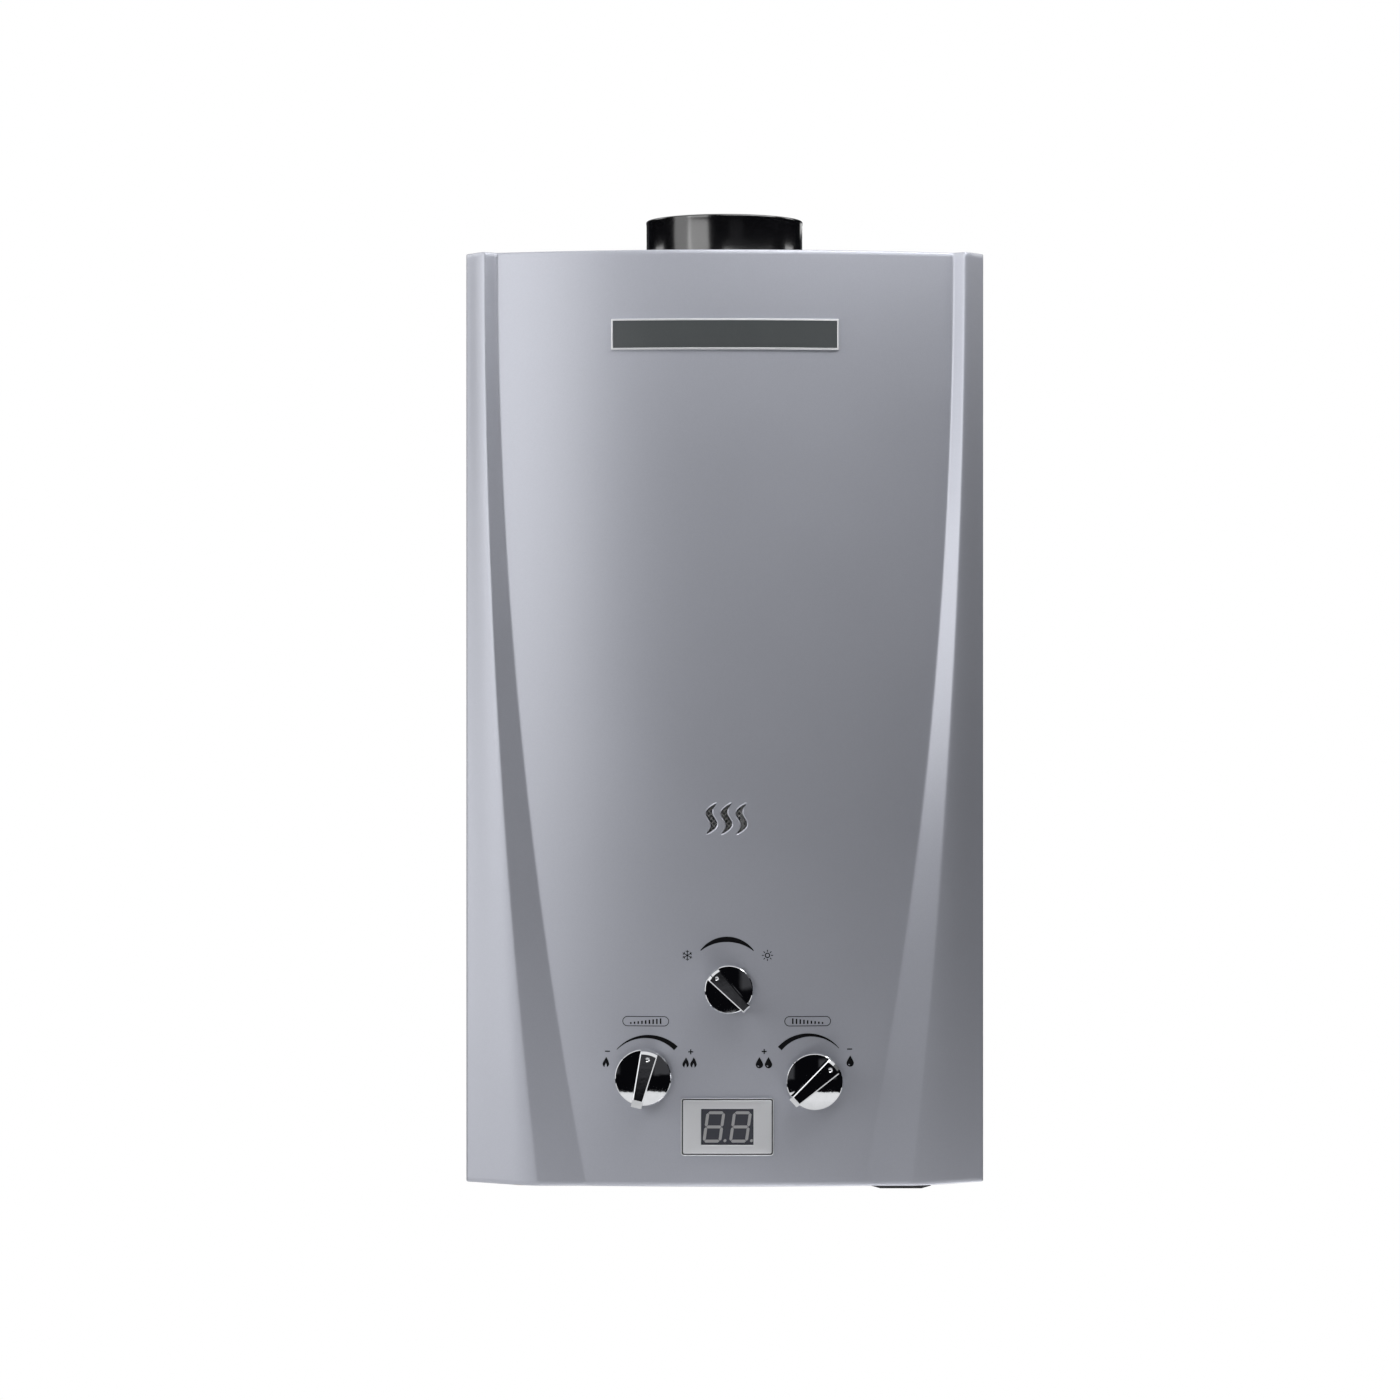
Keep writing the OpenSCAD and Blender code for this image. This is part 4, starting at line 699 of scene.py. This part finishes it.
def loft(rings, capped=True):
    """Faces between a row of equal closed loops, with both ends capped where asked."""
    count = len(rings[0])
    faces = []
    for r in range(len(rings) - 1):
        for k in range(count):
            a, b = r * count + k, r * count + (k + 1) % count
            faces.append((a, b, b + count, a + count))
    if capped:
        faces.append(tuple(range(count))[::-1])
        faces.append(tuple(range((len(rings) - 1) * count, len(rings) * count)))
    return [p for ring in rings for p in ring], faces


def lathe(profile, put, sides):
    """Turns (radius, height) pairs about an axis; a profile that ends where it starts is a ring."""
    return loft([[put(r * c, r * s, h) for c, s in circle(sides)] for r, h in profile], False)


def prism(outline, ends):
    """An outline in x and z, drawn out along y."""
    return loft([[(x, y, z) for x, z in outline] for y in ends])


class Shell:
    """Collects closed skins and turns them into one mesh object."""

    def __init__(self):
        self.points = []
        self.faces = []

    def add(self, skin):
        start = len(self.points)
        self.points += skin[0]
        self.faces += [tuple(i + start for i in face) for face in skin[1]]
        return self

    def piece(self, name, material=None):
        made = plain_mesh(name, self.points, self.faces, material)
        work = bmesh.new()
        work.from_mesh(made.data)
        bmesh.ops.remove_doubles(work, verts=work.verts, dist=1e-7)
        bmesh.ops.recalc_face_normals(work, faces=work.faces)
        work.to_mesh(made.data)
        work.free()
        return made


def combine(piece, other, operation):
    """Unites or cuts two objects and keeps the plain result."""
    name = piece.name
    tool = piece.modifiers.new("combine", "BOOLEAN")
    tool.operation = operation
    tool.solver = "EXACT"
    tool.object = other
    done = settle(piece, name + ".done")
    bpy.data.objects.remove(other)
    done.name = name
    return done


def paint_over(piece, material):
    piece.data.materials.clear()
    piece.data.materials.append(material)
    piece.data.polygons.foreach_set("material_index", [0] * len(piece.data.polygons))


def rounded_ring(width, height, corner, put, per_side=2, per_corner=5):
    """A rectangle with round corners, as a loop whose upper half mirrors its lower half."""
    hw, hh = width / 2, height / 2
    corner = min(corner, hw, hh)
    low = []
    for k in range(per_corner + 1):
        a = pi + quarter * k / per_corner
        low.append((-hw + corner + corner * cos(a), -hh + corner + corner * sin(a)))
    for k in range(1, per_side):
        low.append((-hw + corner + (width - 2 * corner) * k / per_side, -hh))
    low += [(-x, z) for x, z in low[per_corner::-1]]
    return [put(x, z) for x, z in low] + [put(x, -z) for x, z in low[::-1]]


print("rings are ready")

# %% [markdown]
# ### Openings of the cover
# The three wavy slots let the flame be watched, the louvres in the sides let warm air out, and
# hidden holes pass the spindles and the display. Each slot's cutter flares at the face, which
# leaves the rolled edge that a press tool leaves.

# %% Cut the cover
slots_x, slots_z = 1.0 * mm, 246.6 * mm
slot_pitch = 10.1 * mm
knob_places = {
    "flame": (-54.9 * mm, 73.3 * mm),
    "water": (59.9 * mm, 70.5 * mm),
    "season": (2.5 * mm, 132.3 * mm),
}
display_x, display_z = 1.5 * mm, 40.2 * mm
display_mid = display_z - mid_height


def slot_ring(centre, y, spread):
    """Outline of a wavy slot, thick in the middle and pointed at both ends."""
    tall, swing, lean, thick = 20 * mm, 2.95 * mm, 3.0 * mm, 2.3 * mm
    right, left = [], []
    for i in range(25):
        v = i / 24
        x = centre + lean * (1 - 2 * v) - swing * sin(2 * pi * v)
        z = slots_z + (tall / 2 + spread) * (1 - 2 * v) - mid_height
        w = thick * abs(sin(pi * v)) ** 0.6 + spread
        right.append((x + w, y, z))
        left.append((x - w, y, z))
    return right + left[::-1]


cutters = Shell()
flare = ((-1.0, 2.2), (0.5, 0.10), (6, 0.10))
for i in (-1, 0, 1):
    x = slots_x + i * slot_pitch
    y = on_panel(x, slots_z)[1]
    cutters.add(loft([slot_ring(x, y + depth * mm, spread * mm) for depth, spread in flare]))
hole = 6 * mm
for x, z in knob_places.values():
    y = on_panel(x, z)[1]
    outline = [(x + hole * c, z - mid_height + hole * s) for c, s in circle(40)]
    cutters.add(prism(outline, (y - 8 * mm, y + 12 * mm)))
outline = rounded_ring(59 * mm, 35.4 * mm, 1 * mm, lambda a, b: (display_x + a, display_mid + b))
cutters.add(prism(outline, (-170 * mm, -145 * mm)))
louvre_y, louvre_low, louvre_pitch = -75 * mm, 470 * mm - mid_height, 13 * mm
louvre_steps = ((176 * mm, 1.0 * mm), (174.6 * mm, 0.0), (168 * mm, 0.0))
for hand in (-1, 1):
    for i in range(6):
        z = louvre_low + i * louvre_pitch
        rings = []
        for x, wider in louvre_steps:
            size = (56 * mm + 2 * wider, 4.5 * mm + 2 * wider, 2.2 * mm)
            rings.append(rounded_ring(*size, lambda a, b: (hand * x, louvre_y + a, z + b)))
        cutters.add(loft(rings))
sheet = cover.modifiers.new("sheet", "SOLIDIFY")
sheet.thickness = 0.8 * mm
sheet.offset = -1.0
sheet.use_even_offset = True
cover = combine(cover, cutters.piece("cover_cutters"), "DIFFERENCE")
paint_over(cover, silver_paint)
fit(cover, "silver_paint", "front_cover", angle=28)

# %% [markdown]
# ## Plates that follow the bowed panel
# The name plate and the display sit on a panel that is curved across, so they are curved too.
# Each is a stack of rounded rectangles laid on the panel at growing or shrinking heights; the
# profile from rim to field decides where a highlight runs.


# %% Bowed plates
def tray(x0, z0, levels, closed=True):
    """A skin of rounded rectangles on the panel; each level holds width, height, corner and out."""
    loops = []
    for width, height, corner, out in levels:
        size = (width * mm, height * mm, corner * mm)
        loops.append(rounded_ring(*size, lambda a, b: on_panel(x0 + a, z0 + b, out * mm), 24))
    if closed:
        loops.append(loops[0])
    points, faces = loft(loops, False)
    count = len(loops[0])
    for start in () if closed else (0, (len(loops) - 1) * count):
        for i in range(count // 2 - 1):
            faces.append((start + i, start + i + 1, start + count - 2 - i, start + count - 1 - i))
    return Shell().add((points, faces))


plate_z = 571.3 * mm
plate_rim = [
    (153, 20.8, 0.8, 0.2), (153, 20.8, 0.8, 1.75), (152.3, 20.1, 0.6, 2.15),
    (151.2, 19.0, 0.4, 2.2), (150.5, 18.3, 0.3, 1.9), (150.3, 18.1, 0.3, 0.2),
]
rim_piece = tray(0, plate_z, plate_rim).piece("name_plate_rim", bright_trim)
fit(rim_piece, "plate", "name_plate")
field = tray(0, plate_z, [(150.6, 18.4, 0.3, 0.3), (150.6, 18.4, 0.3, 1.35)], closed=False)
fit(field.piece("name_plate_field", plate_field), "plate", "name_plate")

frame_and_groove = [
    (62.3, 38.5, 2.0, 0.2), (62.3, 38.5, 2.0, 1.5), (62.0, 38.2, 1.9, 1.75), (61.4, 37.8, 1.6, 1.8),
    (61.1, 37.5, 1.4, 1.5), (60.9, 37.3, 1.3, 0.4), (59.5, 35.9, 1.0, 0.4), (59.3, 35.7, 1.0, 1.4),
]
face_and_window = [
    (58.7, 35.1, 0.8, 1.70), (58.3, 34.7, 0.8, 1.72), (35.7, 24.7, 0.5, 1.72),
    (35.3, 24.3, 0.3, 1.55), (35.0, 24.0, 0.3, 0.25),
]
bezel = tray(display_x, display_z, frame_and_groove + face_and_window)
fit(bezel.piece("display_bezel_plate", grey_plastic), "grey_plastic", "display_bezel")
gasket = [(61.0, 37.4, 1.3, 0.3), (61.0, 37.4, 1.3, 0.9), (59.4, 35.8, 1.0, 0.9), (59.4, 35.8, 1.0, 0.3)]
seal = tray(display_x, display_z, gasket)
fit(seal.piece("display_seal", black_plastic), "black_plastic")

# %% [markdown]
# ## Display digits
# Unlit, the two digits are pale bars moulded into the smoked window, leaning eight degrees.
# A bar is a flat hexagon with pointed ends, so that seven of them meet with thin gaps.


# %% Seven bars and a dot, twice
def bar(start, end, thick):
    (ax, az), (bx, bz) = start, end
    length = hypot(bx - ax, bz - az)
    dx, dz = (bx - ax) / length, (bz - az) / length
    half = thick / 2
    gap = 0.2
    stations = ((gap, 0), (gap + half, half), (length - gap - half, half), (length - gap, 0))
    right = [(ax + dx * s + dz * w, az + dz * s - dx * w) for s, w in stations]
    left = [(ax + dx * s - dz * w, az + dz * s + dx * w) for s, w in stations[2:0:-1]]
    return right + left


window_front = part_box("display_window")[0][1]
lean = tan(radians(8))
digits = Shell()
half_w, half_h = 5.3, 9.5
corners = {(i, j): (i * half_w, j * half_h) for i in (-1, 1) for j in (-1, 0, 1)}
pairs = [((-1, j), (1, j)) for j in (-1, 0, 1)]
pairs += [((i, j), (i, j + 1)) for i in (-1, 1) for j in (-1, 0)]
shapes = [bar(corners[a], corners[b], 1.95) for a, b in pairs]
shapes.append([(8.7 + c, -9.2 + s) for c, s in circle(20)])
for shift in (-9.0, 8.8):
    for shape in shapes:
        outline = [(display_x + (shift + x + lean * z) * mm, display_mid + z * mm) for x, z in shape]
        digits.add(prism(outline, (window_front + 0.02 * mm, window_front - 0.08 * mm)))
fit(digits.piece("display_digits", segment_grey), "grey_plastic")

# %% [markdown]
# ## Printed marks
# The scales and pictograms are screen-printed: a layer of ink a few hundredths of a millimetre
# thick. Every mark is a stroke along a path with a width at each point, in millimetres, laid on
# the panel: an arc that swells, a drop, a flame, the rays of a sun. Where a scale needs to say
# what it sets, common signs do it: snow and sun for the season, minus and plus for less and more.


# %% Strokes of ink
def stroke(path, widths, out=0.05):
    """A ribbon on the panel through (x, height) points, as wide as told at each of them."""
    rings = []
    last = len(path) - 1
    for i, (x, z) in enumerate(path):
        ax, az = path[max(i - 1, 0)]
        bx, bz = path[min(i + 1, last)]
        length = hypot(bx - ax, bz - az)
        half = max(widths[i], 0.05) / 2
        nx, nz = -half * (bz - az) / length, half * (bx - ax) / length
        section = ((1, -0.03), (-1, -0.03), (-1, out), (1, out))
        rings.append([on_panel((x + s * nx) * mm, (z + s * nz) * mm, o * mm) for s, o in section])
    return loft(rings)


def spread(count):
    return [i / (count - 1) for i in range(count)]


def arc_mark(cx, cz, radius, start, end, width_of):
    """A stroke along a circle between two angles from the vertical, in degrees."""
    turns = [radians(start + (end - start) * t) for t in spread(33)]
    path = [(cx + radius * sin(a), cz + radius * cos(a)) for a in turns]
    return stroke(path, [width_of(t) for t in spread(33)])


def line_mark(ax, az, bx, bz, width):
    path = [(ax + (bx - ax) * t, az + (bz - az) * t) for t in (0, 0.5, 1)]
    return stroke(path, [width] * 3)


def round_mark(cx, cz, width, height, sag=0.0, out=0.05):
    """A pointed drop, round below; sag bends its tip sideways into a flame."""
    path, widths = [], []
    for t in spread(25):
        body = sqrt(max(0.0, 1 - (1 - t / 0.36) ** 2)) if t < 0.36 else 1 - ((t - 0.36) / 0.64) ** 1.25
        path.append((cx + sag * sin(2.6 * t) * t, cz + height * (t - 0.5)))
        widths.append(width * max(body, 0.0))
    return stroke(path, widths, out)


def swelling(t):
    return 0.4 + 3.9 * t - 0.8 * t * t


print("strokes are ready")

# %% Scales, pictograms and signs
ink = Shell()
hollows = Shell()
ink.add(arc_mark(1.3, 141.2, 24.6, -46, 46.5, lambda t: 0.6 + 3.0 * sin(pi * t)))
ink.add(arc_mark(-52.25, 72.7, 27.8, -47, 44, swelling))
ink.add(arc_mark(56.5, 75.1, 26.4, 48.8, -48.8, swelling))
for centre, order in ((-53.2, range(9)), (55.4, range(8, -1, -1))):
    outline = rounded_ring(30.8, 6.3, 3.15, lambda a, b: (centre + a, 110.75 + b), 2, 8)
    ink.add(stroke(outline, [0.5] * len(outline)))
    for i, rank in enumerate(order):
        x = centre + (i - 4) * 2.5
        ink.add(line_mark(x, 108.9, x, 110.1 + 0.33 * rank, 1.0))

flames = ((-80.1, 83.1), (-26.5, 83.2), (-21.3, 83.2))
drops = ((23.0, 83.1), (29.1, 83.1), (84.0, 83.7))
for x, z in flames:
    ink.add(round_mark(x, z, 4.4, 7.0, 0.5))
    hollows.add(round_mark(x, z - 2.2, 1.5, 3.4, 0.2, 0.07))
for x, z in drops:
    ink.add(round_mark(x, z, 5.0, 7.6))
    glint = [(x - 0.2 - 1.1 * sin(a), z - 1.3 - 1.1 * cos(a)) for a in spread(9)]
    hollows.add(stroke(glint, [0.55] * 9, 0.07))

for x, z, more in ((-78.9, 90.4, 0), (-23.0, 90.4, 1), (26.2, 90.6, 1), (83.6, 91.8, 0)):
    ink.add(line_mark(x - 1.7, z, x + 1.7, z, 0.8))
    if more:
        ink.add(line_mark(x, z - 1.7, x, z + 1.7, 0.8))

sun_x, snow_x, season_z = 28.4, -25.3, 155.0
ink.add(arc_mark(sun_x, season_z, 1.45, 0, 360, lambda t: 0.7))
for c, s in circle(8):
    ink.add(line_mark(sun_x + 2.4 * c, season_z + 2.4 * s, sun_x + 3.7 * c, season_z + 3.7 * s, 0.6))
for k in range(6):
    a = pi * (k / 3 + 1 / 6)
    c, s = cos(a), sin(a)
    ink.add(line_mark(snow_x, season_z, snow_x + 3.6 * c, season_z + 3.6 * s, 0.5))
    fork_x, fork_z = snow_x + 2.1 * c, season_z + 2.1 * s
    for side in (a - 0.9, a + 0.9):
        ink.add(line_mark(fork_x, fork_z, fork_x + 1.3 * cos(side), fork_z + 1.3 * sin(side), 0.45))
fit(ink.piece("panel_print", panel_ink), "black_plastic")
fit(hollows.piece("print_gaps", silver_paint), "silver_paint")

# %% [markdown]
# ## Knobs
# Each knob is a low dome with a tapered blade across it. The real one is moulded and plated, so
# its edges are narrow bevels that catch a line of light. The dome is turned on the lathe, the
# blade is a loft whose end slopes down, the two are united, and a ball presses the dimple. Such
# mirrors would show two of the lamps as white spots, so these are kept off them, and a narrow
# lamp of their own draws the lines along the bevels.


# %% Knobs
def knob(control, turn, across, dome, slope, rim):
    name = control + "_knob"
    low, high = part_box(name)
    base = high[1]
    tall = (base - low[1]) / mm
    large = 37.6
    scale = across / large
    radius = across / 2
    edge, blade_foot = 3.8, 2.0
    x0, z0 = knob_places[control]
    z0 -= mid_height
    s, c = sin(radians(turn)), cos(radians(turn))

    def put(along, aside, out):
        return (x0 + (along * s + aside * c) * mm, base - out * mm, z0 + (along * c - aside * s) * mm)

    profile = [(0.01, 0), (radius - 0.4, 0), (radius, 0.4), (radius, edge - rim)]
    for t in spread(15)[::-1]:
        profile.append(((radius - rim) * t if t else 0.01, edge + dome * (1 - t * t)))
    disc = Shell().add(lathe(profile, put, 96)).piece(name + "_shell", chrome)

    nose_half, tail_half = 5.7 * scale, 3.55 * scale
    tail = radius + 1.0
    bevel, nose_bevel = 0.3, 1.9 * scale

    def ring(out):
        nose_cut = 0.05 + max(0, out - tall + nose_bevel)
        tail_cut = max(0, out - tall + slope)
        inset = 0.68 if out == tall else 0.3 * (out - tall) / tall
        loop = []
        for k in spread(13):
            aside = (nose_half - inset) * (1 - 2 * k)
            loop.append((sqrt(radius**2 - aside**2) - nose_cut, aside))
        loop.append((-tail + tail_cut, -(tail_half - inset)))
        loop.append((-tail + tail_cut, tail_half - inset))
        return [put(a, b, out) for a, b in loop]

    heights = sorted((blade_foot, tall - slope, tall - nose_bevel, tall - bevel, tall))
    blade = loft([ring(out) for out in heights])
    whole = combine(disc, Shell().add(blade).piece(name + "_blade", chrome), "UNION")
    ball = 2.1 * scale
    seat = 13.6 * scale
    arc = [(ball * sin(pi * t), -ball * cos(pi * t)) for t in spread(17)]
    press = lathe(arc, lambda a, b, h: put(seat + a, b, tall + 1.15 * scale + h), 32)
    whole = combine(whole, Shell().add(press).piece("dimple"), "DIFFERENCE")
    paint_over(whole, chrome)
    fit(whole, "chrome", name, body=control + "_control", angle=18)
    return whole


knobs = [
    knob("flame", turn=13.5, across=37.6, dome=1.8, slope=5.4, rim=0.45),
    knob("water", turn=48, across=37.6, dome=2.5, slope=3.2, rim=0.45),
    knob("season", turn=-44, across=32.2, dome=0.9, slope=0.9, rim=0.5),
]
for lamp, state in (("left_front", "EXCLUDE"), ("floor_bounce", "EXCLUDE"), ("knob_strip", "INCLUDE")):
    flag(lamp, state, *knobs)

# %% [markdown]
# ## Flue collar
# The collar is a short spun tube with a flange below and a rolled edge above. A lathe profile
# that comes back to its start makes a closed ring; the rolled edge is half a circle of points.
# The lamp beside it is kept off, or its gloss would turn grey.

# %% Collar
collar_y = -75 * mm
foot, brim = 627 * mm - mid_height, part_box("flue_collar")[1][2]
profile = [(66, 0), (66, 0.7), (65.7, 1), (55.5, 1), (54.6, 1.3), (54, 2.2), (53.75, 3.2)]
profile += [(53.75, 25.6), (54, 26.4)]
for t in spread(11):
    profile.append((53 + cos(pi * t), (brim - foot) / mm - 1.0 + sin(pi * t)))
profile += [(52.3, 25), (52.5, 0), (66, 0)]
tube = lathe(profile, lambda a, b, h: (a * mm, collar_y + b * mm, foot + h * mm), 128)
collar = Shell().add(tube).piece("flue_collar_tube", black_enamel)
fit(collar, "black_enamel", "flue_collar")
flag("left_side", "EXCLUDE", collar)

# %% [markdown]
# ## Woven mesh behind the slots
# A fine wire cloth closes the viewing slots, laid at a slant. Wires run both ways and pass over
# and under each other: a product of two cosines pushes one set forward where it pushes the other
# back, so the weave needs no counting. What reaches past the frame is trimmed off.


# %% Wire cloth
def cloth_rule(bench, size):
    pitch, thick = size["Pitch"], size["Wire thickness"]
    span = size["Width"] * 1.2
    ends = {"Start": bench.point(span * -0.5), "End": bench.point(span * 0.5)}
    along = bench.node("GeometryNodeCurvePrimitiveLine", ends)
    along = bench.node("GeometryNodeResampleCurve", {"Curve": along, "Count": 101})
    edge = bench.node("GeometryNodeCurvePrimitiveCircle", {"Resolution": 5, "Radius": thick * 0.5})
    one_wire = bench.node("GeometryNodeCurveToMesh", {"Curve": along, "Profile Curve": edge})
    count = (span / pitch).math("FLOOR")
    steps = {"Start Location": bench.point(z=count * pitch * -0.5), "Offset": bench.point(z=pitch)}
    row = bench.node("GeometryNodeMeshLine", {"Count": count + 1, **steps})
    rows = bench.node("GeometryNodeInstanceOnPoints", {"Points": row, "Instance": one_wire})
    rows = bench.node("GeometryNodeRealizeInstances", {"Geometry": rows})
    crossing = bench.node("GeometryNodeTransform", {"Geometry": rows, "Rotation": (0, quarter, 0)})
    spot = bench.node("GeometryNodeInputPosition").parts()
    wave = (spot["X"] * pi / pitch).math("COSINE") * (spot["Z"] * pi / pitch).math("COSINE")
    sets = []
    for wires, hand in ((rows, 1.0), (crossing, -1.0)):
        push = bench.point(y=wave * thick * 0.5 * hand)
        sets.append(bench.node("GeometryNodeSetPosition", {"Geometry": wires, "Offset": push}))
    both = bench.node("GeometryNodeJoinGeometry", {"Geometry": sets})
    both = bench.node("GeometryNodeTransform", {"Geometry": both, "Rotation": (0, quarter / 2, 0)})
    across = spot["X"].math("ABSOLUTE") / size["Width"]
    past = across.math("MAXIMUM", spot["Z"].math("ABSOLUTE") / size["Height"]).math("GREATER_THAN", 0.5)
    both = bench.node("GeometryNodeDeleteGeometry", {"Geometry": both, "Selection": past})
    return bench.node("GeometryNodeTransform", {"Geometry": both, "Translation": size["Middle"]})


low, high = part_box("viewing_mesh")
cloth_sizes = {
    "Width": high[0] - low[0],
    "Height": high[2] - low[2],
    "Pitch": 2.4 * mm,
    "Wire thickness": 0.5 * mm,
    "Middle": ((low[0] + high[0]) / 2, low[1] + 0.6 * mm, (low[2] + high[2]) / 2),
    "Material": mesh_black,
}
cloth = grow("viewing_cloth", cloth_rule, cloth_sizes)
fit(cloth, "mesh", "viewing_mesh", angle=60)

# %% [markdown]
# ## Pipe connections
# Gas, cold and hot water leave through the base as brass nipples with a half-inch pipe thread.
# A thread is a ridge that climbs along a spiral, so a small profile swept along a spiral curve
# makes it; the tube under it and the hexagon for the spanner are skins of rings.


# %% Threads and nipples
def thread_rule(bench, size):
    radii = {"Start Radius": size["Radius"], "End Radius": size["Radius"]}
    climb = {"Rotations": size["Turns"], "Height": size["Turns"] * size["Pitch"]}
    coil = bench.node("GeometryNodeCurveSpiral", {"Resolution": 30, **radii, **climb})
    edge = bench.node("GeometryNodeCurvePrimitiveCircle", {"Resolution": 6, "Radius": size["Ridge"]})
    ridge = bench.node("GeometryNodeCurveToMesh", {"Curve": coil, "Profile Curve": edge, "Fill Caps": True})
    return bench.node("GeometryNodeTransform", {"Geometry": ridge, "Translation": size["Foot"]})


spanner = ((9.0, 17.0), (14.2, 17.0), (15.0, 17.5), (15.0, 19.1), (14.4, 19.5), (9.0, 19.5), (9.0, 17.0))
thread_sizes = {"Turns": 8.4, "Pitch": 1.814 * mm, "Radius": 9.87 * mm, "Ridge": 0.6 * mm, "Material": brass}
for node in ("gas_inlet", "cold_inlet", "hot_outlet"):
    low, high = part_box(node)
    x0, y0 = (low[0] + high[0]) / 2, (low[1] + high[1]) / 2

    def stand(a, b, h):
        return (x0 + a * mm, y0 + b * mm, low[2] + h * mm)

    top = (high[2] - low[2]) / mm
    profile = [(6.5, 0.4), (6.9, 0), (8.9, 0), (9.45, 0.7), (9.45, 17), (9.5, 17.2)]
    profile += [(9.5, top), (6.5, top), (6.5, 0.4)]
    nipple = Shell().add(lathe(profile, stand, 64)).add(lathe(spanner, stand, 6))
    fit(nipple.piece(node + "_nipple", brass), "brass", node)
    thread_sizes["Foot"] = (x0, y0, low[2] + 0.9 * mm)
    thread = grow(node + "_thread", thread_rule, thread_sizes)
    fit(thread, "brass", node, angle=50)

# %% [markdown]
# ## Casing screws
# Six pan-head screws hold the cover to the back plate's flanges. One head is turned on the lathe
# and gets its cross cut into it; Geometry Nodes then sets a copy on each of six points, turned
# so that the head looks out of the side wall.


# %% Screw heads on points
def screw_rule(bench, size):
    head = bench.node("GeometryNodeObjectInfo", {"Object": size["Head"]}, "Geometry")
    spot = bench.node("GeometryNodeInputPosition").parts()
    scatter, most = 971.0, 3.0
    twist = (spot["Z"] * scatter).math("SINE") * most
    turn = bench.point(y=spot["X"].math("SIGN") * quarter)
    copies = {"Points": size["Geometry"], "Instance": head, "Rotation": turn}
    copies = bench.node("GeometryNodeInstanceOnPoints", copies)
    return bench.node("GeometryNodeRotateInstances", {"Instances": copies, "Rotation": bench.point(z=twist)})


def upright(a, b, h):
    return (a * mm, b * mm, h * mm)


profile = [(0.01, -4), (1.9, -4), (1.9, 0), (3.69, 0)]
for t in spread(9)[:-1]:
    profile.append((3.69 * cos(quarter * t), 0.5 + 1.7 * sin(quarter * t)))
profile.append((0.01, 2.2))
head = Shell().add(lathe(profile, upright, 40)).piece("screw_head", steel)
cross = Shell()
square = ((-1, -1), (1, -1), (1, 1), (-1, 1))
for wide, deep in ((0.5, 2.0), (2.0, 0.5)):
    ends = ((1.0, 0.45), (2.6, 1.1))
    cross.add(loft([[upright(wide * s * a, deep * s * b, h) for a, b in square] for h, s in ends]))
head = combine(head, cross.piece("cross"), "DIFFERENCE")
paint_over(head, steel)
flange_y = -12 * mm
places = [(s * half_width, flange_y, z * mm - mid_height) for s in (-1, 1) for z in (60, 320, 580)]
screws = grow("casing_screw_heads", screw_rule, {"Head": head, "Material": steel}, places)
bpy.data.objects.remove(head)
fit(screws, "steel", "casing_screws", angle=40)

# %% [markdown]
# ## Battery lid
# The lid under the casing keeps its solid shape. Its finger grip is a row of low ribs near the
# front edge, which move with the lid.

# %% Grip ribs
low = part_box("battery_lid")[0]
lid_x = 120 * mm
grip = Shell()
for i in range(6):
    y = low[1] + (6 + 3.2 * i) * mm
    rib = []
    for drop, half_x, half_y in ((-0.4, 12.5, 0.85), (0.3, 12.3, 0.65), (0.6, 11.9, 0.3)):
        rib.append([(lid_x + half_x * mm * a, y + half_y * mm * b, low[2] - drop * mm) for a, b in square])
    grip.add(loft(rib))
fit(grip.piece("battery_lid_grip", black_plastic), "black_plastic", body="lid", angle=20)

# %% [markdown]
# ## Finishes for the solids that stay
# Most of what is inside is right as the solids have it, so it only needs its finish. The packed
# record says which slot each solid takes. Three slots are named after their use, the rest after
# their finish.

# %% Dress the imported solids
finishes |= {"plate": plate_field, "mesh": mesh_black, "cell": cell_wrap}
for part in frame["record"]["subparts"]:
    solid = nodes[part["node"]]
    solid.data.materials.clear()
    solid.data.materials.append(finishes[part["material_slot"]])
print("dressed", len(frame["record"]["subparts"]), "solids")

# %% Overall size
low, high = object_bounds()
